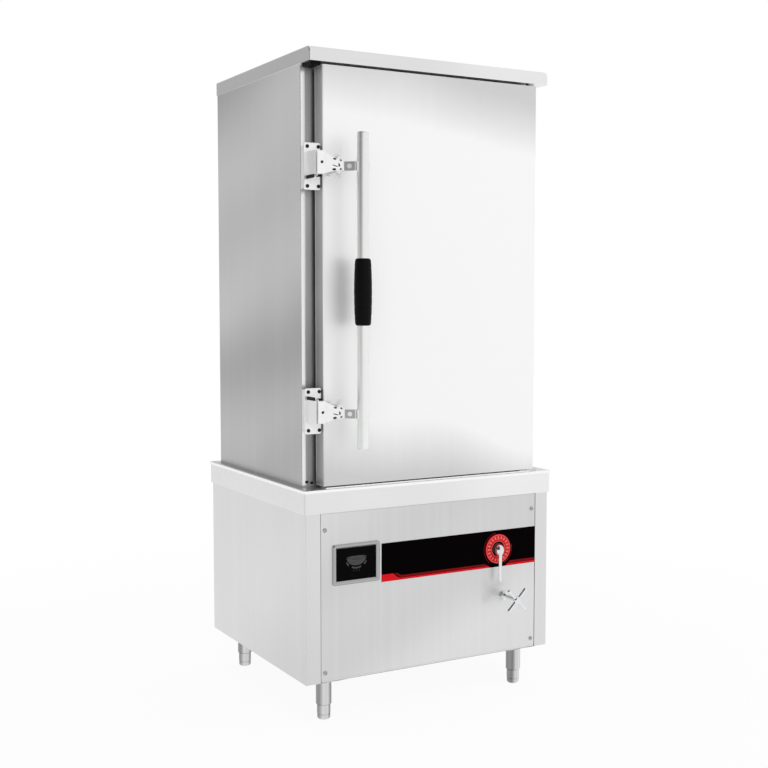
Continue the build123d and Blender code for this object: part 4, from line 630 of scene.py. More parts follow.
    def _smooth(self) -> Tree:
        """Weld loose triangles and shade them smooth where neighbours meet at less than 28 degrees."""
        group, given, out = self._shell("weld_and_smooth", "GeometryNodeTree", [("Geometry", "NodeSocketGeometry")],
                                        [("Geometry", "NodeSocketGeometry")])
        bare = group.nodes.new("GeometryNodeRemoveAttribute")
        bare.inputs["Name"].default_value = "custom_normal"
        weld = group.nodes.new("GeometryNodeMergeByDistance")
        weld.inputs["Distance"].default_value = WELD * 5
        smooth = group.nodes.new("GeometryNodeSetShadeSmooth")
        smooth.domain = "FACE"
        crease = group.nodes.new("GeometryNodeSetShadeSmooth")
        crease.domain = "EDGE"
        crease.inputs["Shade Smooth"].default_value = False
        angle = group.nodes.new("GeometryNodeInputMeshEdgeAngle")
        sharp = self.math(group, "GREATER_THAN", angle.outputs["Unsigned Angle"], math.radians(self.crease))
        group.links.new(given.outputs[0], bare.inputs["Geometry"])
        group.links.new(bare.outputs["Geometry"], weld.inputs["Geometry"])
        group.links.new(weld.outputs["Geometry"], smooth.inputs["Geometry"])
        group.links.new(smooth.outputs["Geometry"], crease.inputs["Geometry"])
        group.links.new(sharp, crease.inputs["Selection"])
        group.links.new(crease.outputs["Geometry"], out.inputs[0])
        return group


WEAR_WIDTH = 1.2 * MM
ROUGH_SWING = 0.08
DUST_COLOUR = tone(214, 212, 206)
DUST_ROUGH = 0.4
BUMP_STRENGTH = 0.35


@dataclass(frozen=True)
class Finish:
    """One finish. The colour moves between dark and light with the grain, the painted sheen (painted reflection and
    shade bands) and the pits.
    """

    name: str
    dark: Colour
    light: Colour
    metallic: float = 0.0
    roughness: float = 0.4
    stretch: Point = (900.0, 900.0, 12.0)
    lines: float = 0.0
    streaks: float = 0.0
    painted_sheen: float = 0.0
    direction: Point = (2.0, 2.0, 5.0)
    bend: float = 3.2
    phase: float = 0.0
    pits: float = 0.0
    pit_scale: float = 900.0
    depth: float = 0.0
    worn: Colour = (0.9, 0.9, 0.9)
    wear: float = 0.0
    dust: float = 0.0
    specular: float = 0.5

    def build(self, groups: NodeGroups) -> bpy.types.Material:
        """Make the material from the shared groups.

        Args:
            groups: The shared node groups.

        Returns:
            The material.
        """
        material = bpy.data.materials.new(self.name)
        material.use_nodes = True
        tree = material.node_tree
        shader = tree.nodes["Principled BSDF"]
        place = tree.nodes.new("ShaderNodeTexCoord").outputs["Object"]
        share = self._share(tree, groups, place)
        blend = self._mix(tree, share["tone"], self.dark, self.light)
        if self.wear:
            edge = self._group(tree, groups.wear, place)
            edge.inputs["Width"].default_value = WEAR_WIDTH
            mask = groups.math(tree, "MULTIPLY", edge.outputs["Edge"], self.wear)
            blend = self._mix(tree, mask, blend, self.worn)
        swing = groups.math(tree, "MULTIPLY", share["tone"], -ROUGH_SWING)
        rough = groups.math(tree, "ADD", swing, self.roughness + ROUGH_SWING / 2)
        if self.dust:
            film = self._group(tree, groups.dust, place).outputs["Dust"]
            veil = groups.math(tree, "MULTIPLY", film, self.dust)
            blend = self._mix(tree, veil, blend, DUST_COLOUR)
            rough = groups.math(tree, "ADD", rough, groups.math(tree, "MULTIPLY", veil, DUST_ROUGH))
        tree.links.new(blend, shader.inputs["Base Color"])
        tree.links.new(rough, shader.inputs["Roughness"])
        shader.inputs["Metallic"].default_value = self.metallic
        shader.inputs["Specular IOR Level"].default_value = self.specular
        if self.depth:
            bump = tree.nodes.new("ShaderNodeBump")
            bump.inputs["Strength"].default_value = BUMP_STRENGTH
            bump.inputs["Distance"].default_value = self.depth * MM
            tree.links.new(share["height"], bump.inputs["Height"])
            tree.links.new(bump.outputs["Normal"], shader.inputs["Normal"])
        return material

    @staticmethod
    def _group(tree: Tree, group: Tree, place: Socket) -> bpy.types.Node:
        """Place a node group that reads the given coordinates.

        Args:
            tree: The material's tree.
            group: The group.
            place: The socket of the coordinates.

        Returns:
            The group's node.
        """
        node = tree.nodes.new("ShaderNodeGroup")
        node.node_tree = group
        tree.links.new(place, node.inputs["Coordinate"])
        return node

    @staticmethod
    def _mix(tree: Tree, share: Socket, first: Socket | Colour, second: Socket | Colour) -> Socket:
        """Mix two colours.

        Args:
            tree: The material's tree.
            share: The socket of the second colour's share.
            first: A socket or a colour.
            second: A socket or a colour.

        Returns:
            The result's socket.
        """
        node = tree.nodes.new("ShaderNodeMix")
        node.data_type = "RGBA"
        tree.links.new(share, node.inputs[0])
        for index, value in ((6, first), (7, second)):
            if isinstance(value, tuple):
                node.inputs[index].default_value = (*value, 1.0)
            else:
                tree.links.new(value, node.inputs[index])
        return node.outputs[2]

    def _share(self, tree: Tree, groups: NodeGroups, place: Socket) -> dict[str, Socket]:
        """Work out how light the surface is at each point, and its fine height.

        Formula: tone = 0.5 + lines (Lines - 0.5) + streaks (Streaks - 0.5) + painted_sheen (Band - 0.5)
        + pits (Pits - 0.5), held between 0 and 1. The painted sheen paints reflection bands.

        Args:
            tree: The material's tree.
            groups: The shared node groups.
            place: The socket of the object coordinates.

        Returns:
            The sockets of tone and height.
        """
        grain = self._group(tree, groups.grain, place)
        grain.inputs["Stretch"].default_value = self.stretch
        # The band group paints reflection and shade bands into the colour: painted sheen.
        band = self._group(tree, groups.painted_sheen, place)
        band.inputs["Direction"].default_value = self.direction
        band.inputs["Bend"].default_value = self.bend
        band.inputs["Phase"].default_value = self.phase
        pits = self._group(tree, groups.speckle, place)
        pits.inputs["Scale"].default_value = self.pit_scale
        sources = ((grain.outputs["Lines"], self.lines * 2.0), (grain.outputs["Streaks"], self.streaks * 2.0),
                   (band.outputs["Band"], self.painted_sheen), (pits.outputs["Pits"], self.pits))
        parts = [groups.math(tree, "MULTIPLY", groups.math(tree, "SUBTRACT", socket, 0.5), weight)
                 for socket, weight in sources if weight]
        total = parts[0]
        for part in parts[1:]:
            total = groups.math(tree, "ADD", total, part)
        shade = groups.math(tree, "ADD", total, 0.5, clamp=True)
        return {"tone": shade, "height": pits.outputs["Pits"] if self.pits else grain.outputs["Lines"]}


UPRIGHT = (1100.0, 1100.0, 9.0)
LEVEL = (9.0, 9.0, 1100.0)

# A finish's painted_sheen weight paints broad lighter and darker bands into its colour that stand in for the room's
# reflections: painted reflection.
FINISHES: tuple[Finish, ...] = (
    # stainless_side is a darker copy of stainless_front's steel for the side faces: painted shade.
    Finish("stainless_side", tone(182), tone(252), 1.0, 0.34, UPRIGHT, lines=0.04, streaks=0.05, painted_sheen=0.95,
           direction=(0.0, 1.5, 5.0), bend=1.4, phase=-4.93, depth=0.008, wear=0.2, dust=0.04),
    Finish("stainless_front", tone(212), tone(251), 0.6, 0.46, UPRIGHT, lines=0.04, streaks=0.05, painted_sheen=2.6,
           direction=(0.45, 0.0, 3.4), bend=0.9, phase=-2.06, depth=0.008, wear=0.2, dust=0.04),
    Finish("base_skin", tone(210), tone(226), 1.0, 0.36, UPRIGHT, lines=0.08, streaks=0.14, painted_sheen=0.6,
           direction=(1.0, 2.0, 4.0), bend=1.5, depth=0.008, wear=0.2, dust=0.05),
    Finish("worktop_skin", tone(226), tone(246), 1.0, 0.34, (9.0, 1100.0, 1100.0), lines=0.08, streaks=0.14,
           painted_sheen=0.5, direction=(5.0, 1.0, 0.0), bend=1.5, depth=0.008, wear=0.2, dust=0.08),
    Finish("front_panel_skin", tone(204), tone(232), 1.0, 0.36, UPRIGHT, lines=0.09, streaks=0.16, painted_sheen=0.5,
           direction=(3.0, 0.0, -6.0), bend=2.0, phase=1.0, depth=0.01, wear=0.25, dust=0.05),
    # shaded_steel is a darker copy of the steel: painted shade where it stands on the strip beside the door and on the
    # door's side face.
    Finish("shaded_steel", tone(176), tone(212), 1.0, 0.42, UPRIGHT, lines=0.08, streaks=0.1, painted_sheen=0.6,
           direction=(0.0, 0.0, 6.0), depth=0.008, wear=0.2),
    Finish("galvanised", tone(150, 154, 157), tone(190, 194, 197), 0.9, 0.45, (60.0, 60.0, 60.0), streaks=0.7,
           pits=0.5, pit_scale=90.0, wear=0.3, dust=0.2),
    Finish("liner_steel", tone(196), tone(228), 1.0, 0.28, LEVEL, lines=0.1, streaks=0.25, painted_sheen=0.2, depth=0.01,
           wear=0.25, dust=0.04),
    Finish("cast_latch", tone(240), tone(254), 0.6, 0.34, (300.0, 300.0, 300.0), streaks=0.3, pits=0.4,
           pit_scale=700.0, depth=0.03, wear=0.5, dust=0.03),
    Finish("pole_steel", tone(232, 234, 232), tone(251, 252, 251), 1.0, 0.32, (500.0, 500.0, 7.0), lines=0.2,
           streaks=0.4, depth=0.01, wear=0.3),
    # painted_highlight_steel is near white: painted highlight on the rim's edge and the folds, and painted light on
    # the strip under the door.
    Finish("painted_highlight_steel", tone(246), tone(255), 0.8, 0.22, (9.0, 9.0, 9.0), streaks=0.2, wear=0.1),
    Finish("bright_chrome", tone(210, 211, 213), tone(242, 243, 244), 1.0, 0.1, (40.0, 40.0, 40.0), streaks=0.3,
           wear=0.15),
    Finish("grip_rubber", tone(3), tone(14), 0.0, 0.5, pits=0.8, pit_scale=1300.0, depth=0.12, worn=tone(44),
           wear=0.3, specular=0.08),
    Finish("seal_rubber", tone(14), tone(30), 0.0, 0.6, pits=0.6, pit_scale=1500.0, depth=0.08, worn=tone(60),
           wear=0.2, dust=0.05, specular=0.2),
    Finish("black_screw", tone(12), tone(30), 0.2, 0.4, pits=0.5, pit_scale=2200.0, depth=0.03, worn=tone(90),
           wear=0.3, specular=0.2),
    Finish("steel_screw", tone(150), tone(196), 1.0, 0.32, pits=0.3, pit_scale=1800.0, depth=0.02, wear=0.4),
    Finish("display_glass", tone(2), tone(6), 0.0, 0.14, streaks=0.4, specular=0.03),
    Finish("strip_black", tone(2, 0, 1), tone(7, 4, 5), 0.0, 0.3, pits=0.5, pit_scale=2600.0, depth=0.01,
           worn=tone(30), wear=0.1, specular=0.01),
    Finish("dial_red", tone(196, 10, 22), tone(228, 26, 38), 0.0, 0.36, pits=0.4, pit_scale=1500.0, specular=0.15),
    Finish("switch_plastic", tone(34), tone(54), 0.0, 0.5, pits=0.6, pit_scale=1200.0, depth=0.05, dust=0.2),
    Finish("brass", tone(168, 128, 62), tone(206, 168, 96), 1.0, 0.32, (300.0, 300.0, 300.0), lines=0.3,
           streaks=0.5, depth=0.02, wear=0.4, worn=tone(232, 204, 140)),
    # foot_steel's painted sheen runs across each leg along x: painted shade and highlight round the tube, a dark edge
    # beside a light middle.
    Finish("foot_steel", tone(128), tone(224), 1.0, 0.36, (500.0, 500.0, 10.0), lines=0.1, streaks=0.1, painted_sheen=0.9,
           direction=(153.9, 0.0, 0.0), bend=0.0, phase=1.57, depth=0.012, wear=0.1, dust=0.06),
    Finish("mineral_wool", tone(150, 134, 88), tone(196, 180, 128), 0.0, 0.95, (240.0, 240.0, 240.0), lines=0.6,
           streaks=0.6, depth=1.2),
    Finish("foam", tone(214, 198, 150), tone(238, 226, 186), 0.0, 0.9, pits=0.8, pit_scale=500.0, depth=0.6),
    Finish("coil_copper", tone(170, 92, 58), tone(214, 138, 98), 0.9, 0.35, (300.0, 300.0, 300.0), lines=0.3,
           streaks=0.4, depth=0.02, wear=0.3, worn=tone(236, 178, 140)),
    Finish("unit_aluminium", tone(168), tone(208), 1.0, 0.42, LEVEL, lines=0.3, streaks=0.3, depth=0.02, wear=0.4,
           dust=0.1),
    Finish("fan_plastic", tone(20), tone(38), 0.0, 0.45, pits=0.5, pit_scale=1100.0, depth=0.04, dust=0.25),
    Finish("lever_red", tone(176, 18, 22), tone(206, 38, 40), 0.0, 0.4, pits=0.4, pit_scale=900.0, depth=0.04,
           worn=tone(225, 120, 120), wear=0.35, dust=0.05),
    Finish("gland_plastic", tone(30), tone(48), 0.0, 0.5, pits=0.5, pit_scale=1000.0, depth=0.04, dust=0.1),
    Finish("print_red", tone(214, 8, 22), tone(236, 20, 34), 0.0, 0.34, pits=0.4, pit_scale=1800.0, specular=0.1),
    Finish("print_wine", tone(112, 4, 12), tone(138, 10, 20), 0.0, 0.34, pits=0.4, pit_scale=1800.0, specular=0.08),
    Finish("print_salmon", tone(232, 96, 92), tone(246, 128, 120), 0.0, 0.34, pits=0.4, pit_scale=1800.0,
           specular=0.15),
    Finish("print_grey", tone(66), tone(86), 0.0, 0.3, pits=0.4, pit_scale=1800.0, specular=0.06),
)


class Workshop:
    """Makes finished pieces and sets each on its body."""

    def __init__(self) -> None:
        """Build the node groups and one material for each finish."""
        self.groups = NodeGroups()
        self.materials = {finish.name: finish.build(self.groups) for finish in FINISHES}

    def dress(self, obj: bpy.types.Object, finish: str) -> None:
        """Give an object one finish, weld and smooth it, and let large faces shade flat up to their rounded edges.

        Args:
            obj: The object.
            finish: The finish's name.
        """
        obj.data.materials.clear()
        obj.data.materials.append(self.materials[finish])
        obj.modifiers.new("weld_and_smooth", "NODES").node_group = self.groups.smooth
        flat = obj.modifiers.new("even_faces", "WEIGHTED_NORMAL")
        flat.weight = 100
        flat.keep_sharp = True

    def piece(self, name: str, shells: Iterable[Shell], finish: str, body: str, slot: str | None = None,
              replaces: Sequence[str] = ()) -> bpy.types.Object:
        """Make a piece, let it ride on a body and hide the solids it replaces.

        Args:
            name: The piece's name.
            shells: Points and faces, placed in the object's frame.
            finish: The finish's name.
            body: The body that the piece rides on.
            slot: Not used.
            replaces: The solids that the piece stands for.

        Returns:
            The new object.
        """
        obj = bpy.data.objects.new(name, build_mesh(name, shells))
        bpy.context.scene.collection.objects.link(obj)
        self.dress(obj, finish)
        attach(obj, body)
        if replaces:
            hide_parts(*replaces)
        LOG.info("%s: %d faces", name, len(obj.data.polygons))
        return obj


def slot_of(node: str) -> str:
    """The material slot that the record gives a solid."""
    return next(part["material_slot"] for part in frame["record"]["subparts"] if part["node"] == node)


def middle(node: str) -> np.ndarray:
    """The middle of a solid's box."""
    low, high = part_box(node)
    return (np.array(low) + np.array(high)) / 2


def dome(radius: float, height: float, foot: float = 0.0, steps: int = 8) -> np.ndarray:
    """A lathe profile of a quarter ellipse from the rim at the foot to the pole at foot + height.

    Args:
        radius: The rim's radius.
        height: The pole's height above the rim.
        foot: The rim's depth.
        steps: Number of spans.

    Returns:
        Rows of radius and depth.
    """
    angle = np.linspace(0, math.pi / 2, steps + 1)
    return np.stack([radius * np.cos(angle), foot + height * np.sin(angle)], axis=1)


@dataclass
class SheetWork:
    """The solids whose own shape shows: sheets, frames, castings and what lies inside."""

    shop: Workshop
    # Solids that get the darker shaded_steel as painted shade.
    shaded: tuple[str, ...] = ("front_frame",)
    shade_width: float = 35 * MM
    shade_short: float = 6 * MM
    shade_corner: float = 1.5 * MM
    shade_proud: float = 0.15 * MM

    def build(self) -> None:
        """Give every solid the finish of its slot, and the strip beside the door a darker one as painted shade."""
        for node, obj in frame["nodes"].items():
            finish = "shaded_steel" if node in self.shaded else slot_of(node)
            self.shop.dress(obj, finish)
            LOG.info("%s: %s", node, finish)
        self._painted_side_shade()

    def _painted_side_shade(self) -> None:
        """A thin darker sheet on the door's latch side: painted shade on the door's side face."""
        low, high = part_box("door_outer_skin")
        _, y, z = middle("door_outer_skin")
        outline = rectangle(self.shade_width, high[2] - low[2] - self.shade_short, self.shade_corner)
        self.shop.piece("door_painted_side_shade", [skin(outline, SUNK, self.shade_proud, (low[0], y, z), Facing.LEFT)],
                        "shaded_steel", "door", slot="stainless_front")


@dataclass
class CabinetTrim:
    """Fine trim: painted highlights on the rim's edge and the folds, a bright strip of painted light under the door,
    rubber ends, a dark block of painted shadow under the cap, and a strip under the panel.
    """

    shop: Workshop
    # The rim's painted highlight band: its height and how far it stands out.
    band: float = 7 * MM
    highlight_proud: float = 0.3 * MM
    easing: float = 0.2 * MM
    rim_corner: float = 3 * MM
    fold: float = 9 * MM
    fold_short: float = 8 * MM
    painted_light_strip: tuple[float, float] = (30 * MM, 3 * MM)
    painted_light_strip_short: float = 12 * MM
    chamfer: float = 0.6 * MM
    seal_ends: tuple[Point, ...] = ((8.5, 12, 9), (22, 9, 7))
    # The dark block under the cap is a painted shadow: its size, chamfer and gaps.
    block: Point = (25 * MM, 44 * MM, 8 * MM)
    shadow_chamfer: float = 0.8 * MM
    shadow_gaps: tuple[float, float] = (1.5 * MM, 2 * MM)

    def build(self) -> None:
        """Build the trim."""
        self._rim_painted_highlight()
        self._fold_painted_highlights()
        self._painted_light_strip()
        self._seal_ends()
        self._cap_painted_shadow()
        self._panel_foot()

    def _rim_painted_highlight(self) -> None:
        """A thin bright band round the rim's upper edge: a painted highlight where the rounded edge catches the light.
        """
        low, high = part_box("worktop_rim")
        x, y, _ = middle("worktop_rim")
        centre = (x, y, high[2] - self.band - MM)
        profile = np.array([(-SUNK, 0), (self.highlight_proud, self.easing), (self.highlight_proud, self.band - self.easing),
                            (-SUNK, self.band)])
        outline = rectangle(high[0] - low[0], high[1] - low[1], self.rim_corner)
        self.shop.piece("rim_painted_highlight_band", [frame_sweep(outline, profile, centre, Facing.UP)], "painted_highlight_steel",
                        "cabinet", slot="worktop_skin")

    def _fold_painted_highlights(self) -> None:
        """A bright face on each side panel's front fold: a painted highlight where the bend catches the light."""
        shells = []
        for node, side in (("cabinet_left_panel", 0), ("cabinet_right_panel", 1)):
            low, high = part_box(node)
            x = (low[0] + self.fold / 2 + MM, high[0] - self.fold / 2 - MM)[side]
            outline = rectangle(self.fold, high[2] - low[2] - self.fold_short, self.chamfer)
            shells.append(skin(outline, SUNK, self.easing, (x, low[1], middle(node)[2]), Facing.FRONT))
        self.shop.piece("fold_painted_highlights", shells, "painted_highlight_steel", "cabinet", slot="stainless_side")

    def _painted_light_strip(self) -> None:
        """A low bright strip on the rim under the door, with rounded ends: painted light over the dark gap there."""
        low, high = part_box("door_outer_skin")
        deep, tall = self.painted_light_strip
        outline = rectangle(high[0] - low[0] - self.painted_light_strip_short, deep, self.rim_corner)
        place = (middle("door_outer_skin")[0], low[1] + deep / 2 + MM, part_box("worktop_rim")[1][2])
        layers = [(0.0, -2 * SUNK), (0.0, tall - self.chamfer), (-self.chamfer, tall)]
        self.shop.piece("door_painted_light_strip", [plate(outline, layers, place, Facing.UP)], "painted_highlight_steel", "cabinet",
                        slot="worktop_skin")

    def _seal_ends(self) -> None:
        """Two small rubber ends at the foot of the strip beside the door."""
        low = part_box("front_frame")[0]
        layers = [(0.0, -2 * SUNK), (0.0, 1.6 * MM), (-self.chamfer, 2.4 * MM)]
        shells = [plate(rectangle(wide * MM, 6 * MM, 2 * MM), layers,
                        (low[0] + across * MM, low[1], low[2] + up * MM), Facing.FRONT)
                  for across, up, wide in self.seal_ends]
        self.shop.piece("seal_ends", shells, "seal_rubber", "cabinet")

    def _cap_painted_shadow(self) -> None:
        """A dark block under the cap, at the head of the channel beside the door: a painted shadow for the cap's
        shaded underside.
        """
        wide, deep, tall = self.block
        side_gap, back_gap = self.shadow_gaps
        place = (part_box("door_outer_skin")[0][0] - side_gap - wide / 2,
                 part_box("front_frame")[0][1] - back_gap - deep / 2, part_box("top_cap")[0][2])
        layers = [(-self.shadow_chamfer, -tall), (0.0, -tall + self.shadow_chamfer), (0.0, -SUNK)]
        # The grip's black rubber finish gives the painted shadow its dark colour.
        self.shop.piece("cap_painted_shadow_block", [plate(rectangle(wide, deep, 2 * MM), layers, place, Facing.UP)],
                        "grip_rubber", "cabinet", slot="seal_rubber")

    def _panel_foot(self) -> None:
        """A narrow steel strip in the gap under the front panel."""
        low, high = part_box("front_panel")
        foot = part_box("base_floor_pan")[1][2]
        outline = rectangle(high[0] - low[0] - 2 * MM, low[2] - foot, 0.4 * MM)
        place = (middle("front_panel")[0], low[1] + 2 * MM, (low[2] + foot) / 2)
        self.shop.piece("panel_foot_strip", [skin(outline, MM, MM, place, Facing.FRONT)], "base_skin", "cabinet")


@dataclass
class PoleHandle:
    """The long tube on the latches, with its end plugs and moulded grip."""

    shop: Workshop
    groove: float = 0.9 * MM
    groove_width: float = 2.2 * MM
    groove_flank: float = 0.2 * MM
    groove_places: tuple[float, ...] = (0.6875, 0.7295, 1.346, 1.383)
    plug_edge: float = 3.0 * MM
    grip_swell: float = 21.0 * MM
    grip_end: float = 17.6 * MM
    grip_ribs: int = 7
    rib_depth: float = 0.35 * MM
    grip_round: float = 5 * MM

    def build(self) -> None:
        """Build the tube, its plugs and its grip."""
        low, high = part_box("pole")
        self.foot = (*middle("pole")[:2], 0.0)
        self.radius = (high[0] - low[0]) / 2
        self._tube(low[2], high[2])
        self._plugs()
        self._grip()

    def _tube(self, bottom: float, top: float) -> None:
        """The tube: straight, with shallow turned grooves.

        Args:
            bottom: The lower end's height.
            top: The upper end's height.
        """
        corners = [(0.0, bottom), (self.radius, bottom)]
        for place in self.groove_places:
            floor = self.radius - self.groove
            corners += [(self.radius, place), (floor, place + self.groove_flank),
                        (floor, place + self.groove_width - self.groove_flank),
                        (self.radius, place + self.groove_width)]
        corners += [(self.radius, top), (0.0, top)]
        self.shop.piece("pole_tube", [lathe(np.array(corners), self.foot, Facing.UP, 64)], "pole_steel",
                        "latch_handle", replaces=["pole"])

    def _plugs(self) -> None:
        """End plugs with a rounded rim and a slight crown."""
        low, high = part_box("pole_caps")
        tube_low, tube_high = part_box("pole")
        shells = []
        for facing, rim, end in ((Facing.UP, tube_high[2], high[2]), (Facing.DOWN, tube_low[2], low[2])):
            height = abs(end - rim)
            profile = rounded([(0, 0), (self.radius, 0), (self.radius, height * 0.86), (0, height)],
                              [0, 0.3 * MM, self.plug_edge, 0], 6, closed=False)
            shells.append(lathe(profile, (self.foot[0], self.foot[1], rim), facing, 64))
        self.shop.piece("pole_plugs", shells, "pole_steel", "latch_handle", replaces=["pole_caps"])

    def _grip(self) -> None:
        """The grip: a barrel that swells in the middle, with shallow rings and rounded ends.

        Formula: radius = end + (swell - end) times the sine of the way along to the power 0.6, less 0.35 mm times a
        rounded comb of the rings, and the ends close on the tube with a quarter round.
        """
        low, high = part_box("grip")
        length = high[2] - low[2]
        way = np.linspace(0, 1, 121)
        swell = self.grip_end + (self.grip_swell - self.grip_end) * np.sin(math.pi * way) ** 0.6
        comb = 0.5 + 0.5 * np.cos(TURN * way * self.grip_ribs)
        body = swell - self.rib_depth * comb ** 8
        end = self.grip_round / length
        fade = np.clip(np.minimum(way, 1 - way) / end, 0, 1)
        drop = (self.grip_end - self.radius - SUNK) * (1 - np.sqrt(1 - (1 - fade) ** 2))
        profile = np.stack([body - drop, low[2] + way * length], axis=1)
        inner = self.radius - 2 * SUNK
        profile = np.concatenate([[(inner, low[2])], profile, [(inner, high[2])], [(inner, low[2])]])
        self.shop.piece("grip_sleeve", [lathe(profile, self.foot, Facing.UP, 64)], "grip_rubber", "latch_handle",
                        replaces=["grip"])


@dataclass
class LatchFittings:
    """Screws, painted shade (black pads, patches and ovals where shade falls) and darker strap faces of the two
    latches. Sockets are in millimetres.
    """

    shop: Workshop
    keeper_heights: tuple[float, float] = (1.326, 0.7575)
    arm_heights: tuple[float, float] = (1.3285, 0.755)
    head_raise: float = 3 * MM
    ear_x: float = 14.2 * MM
    ear_z: float = 45.5 * MM
    ear_head: Point = (4.3 * MM, 2 * MM, MM)
    bracket_x: float = 11.5 * MM
    bracket_z: float = 24.5 * MM
    bracket_head: Point = (4 * MM, 1.6 * MM, 0.9 * MM)
    shade_pad: Point = (3.4 * MM, 38 * MM, 8 * MM)
    wall: tuple[float, float] = (4.6 * MM, 27 * MM)
    shadow_stop: tuple[float, float] = (11 * MM, 5.4 * MM)
    easing: float = 0.6 * MM
    web_reach: float = 9 * MM
    head_reach: float = 46 * MM
    strap: Point = (25 * MM, 20.4 * MM, 3 * MM)
    strap_turn: float = -42.9
    strap_place: Point = (22.75 * MM, -16 * MM, -3 * MM)
    # The plug and the sockets are painted shadows: dark ovals for the shade in the gaps round the pivot and in the
    # head's recess.
    plug: Point = (12 * MM, 3 * MM, 3.3 * MM)
    sockets: tuple[tuple[float, float, float, float, float], ...] = (
        (-12.6, 12.4, 4.1, 2.1, -8), (3, 10.2, 2.9, 1.9, -20), (-14, -11.4, 5.2, 2.5, 8), (3, -9.8, 2.9, 1.9, 20),
        (-1.1, -0.9, 2.1, 4.2, 8), (-11.4, -3.2, 7.6, 1.1, -14))

    def build(self) -> None:
        """Build the keepers' screws and painted shade, the brackets' screws, and the arms' painted shadows and strap
        faces.
        """
        self._keeper_screws()
        self._keeper_painted_shade()
        self._bracket_screws()
        self._arm_painted_shadows()
        self._strap_faces()

    def _keeper_screws(self) -> None:
        """Black pan heads with a cross recess in the keepers' ears."""
        x = middle("keeper_screws")[0]
        radius, height, recess = self.ear_head
        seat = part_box("keeper_screws")[0][1] + height
        shells = [dimpled_head(radius, height, recess, 2, (x + side * self.ear_x, seat, z + up * self.ear_z),
                               Facing.FRONT)
                  for z in self.keeper_heights for side in (-1, 1) for up in (-1, 1)]
        self.shop.piece("keeper_screw_heads", shells, "black_screw", "cabinet", replaces=["keeper_screws"])

    def _keeper_painted_shade(self) -> None:
        """A black pad at one end of each guide wall, and a small black patch on the plate beside it: painted shade for
        the channel's dark open end and the shadow under the head.

        They lie below the upper head and above the lower one. Formula: a rounded rectangle as deep as the wall is
        long, drawn on the wall's side and pushed through it, with its two rims drawn in by 0.6 mm.
        """
        low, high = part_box("keepers")
        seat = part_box("keeper_screws")[0][1] + self.ear_head[1]
        wide, deep, tall = self.shade_pad
        thick, end = self.wall
        ease = self.easing
        layers = [(-ease, -wide), (0.0, -wide + ease), (0.0, -ease), (-ease, 0.0)]
        # The small black patch of painted shade beside the head.
        block = [(0.0, 0.0), (0.0, 3 * MM), (-ease, 3 * MM + ease)]
        shells = []
        for z, side in zip(self.arm_heights, (-1, 1)):
            centre = (low[0] + thick, seat - deep / 2, z + self.head_raise + side * (end + tall / 2))
            shells.append(plate(rectangle(deep, tall, 2.4 * MM), layers, centre, Facing.LEFT))
            corner = (high[0] - self.shadow_stop[0] / 2 + 4 * SUNK, seat, centre[2] - side * 5 * MM)
            shells.append(plate(rectangle(*self.shadow_stop, 1.4 * MM), block, corner, Facing.FRONT))
        self.shop.piece("keeper_painted_shade", shells, "seal_rubber", "cabinet")

    def _bracket_screws(self) -> None:
        """Low heads in the brackets' corners on the door."""
        x = middle("latch_bracket_screws")[0]
        radius, height, recess = self.bracket_head
        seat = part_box("latch_bracket_screws")[0][1] + height
        shells = [dimpled_head(radius, height, recess, 2,
                               (x + side * self.bracket_x, seat, z + up * self.bracket_z), Facing.FRONT)
                  for z in self.arm_heights for side in (-1, 1) for up in (-1, 1)]
        self.shop.piece("bracket_screw_heads", shells, "pole_steel", "door", slot="steel_screw",
                        replaces=["latch_bracket_screws"])

    def _arm_painted_shadows(self) -> None:
        """Painted shadows: dark sockets and slits round the pivot on each arm's web and one dark plug in its head, as
        thin oval insets where shade falls in the gaps and the recess.

        Formula: an ellipse with the given half width and half height, turned by the given angle, about its place
        beside the pivot.
        """
        pivot = middle("latch_pins")
        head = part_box("latch_arms")[0]
        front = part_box("keeper_screws")[0][1] - self.head_reach
        angle = np.linspace(0, TURN, 24, endpoint=False)
        layers = [(0.0, -4 * SUNK), (0.0, SUNK), (-0.3 * MM, 0.25 * MM)]
        circle = np.stack([np.cos(angle), np.sin(angle)], axis=1)
        shells = []
        for z in self.arm_heights:
            across, up, radius = self.plug
            shells.append(plate(circle * radius, layers, (head[0] + across, front, z + up), Facing.FRONT))
            for across, up, half_wide, half_tall, tilt in self.sockets:
                lean = math.radians(tilt)
                spin = np.array([[math.cos(lean), math.sin(lean)], [-math.sin(lean), math.cos(lean)]])
                oval = circle * [half_wide, half_tall] @ spin * MM
                centre = (pivot[0] + across * MM, pivot[1] - self.web_reach, z + up * MM)
                shells.append(plate(oval, layers, centre, Facing.FRONT))
        self.shop.piece("arm_painted_shadows", shells, "black_screw", "latch_handle")

    def _strap_faces(self) -> None:
        """A darker brushed face on each strap, through which its round boss shows."""
        pivot = middle("latch_pins")
        wide, tall, proud = self.strap
        shells = []
        for z in self.arm_heights:
            flat = skin(rectangle(wide, tall, 1.2 * MM), SUNK - proud, proud + 2 * SUNK, (0.0, 0.0, 0.0), Facing.FRONT)
            place = (pivot[0] + self.strap_place[0], pivot[1] + self.strap_place[1], z + self.strap_place[2])
            shells.append(turned(flat, self.strap_turn, place))
        self.shop.piece("strap_faces", shells, "shaded_steel", "latch_handle", slot="cast_latch")


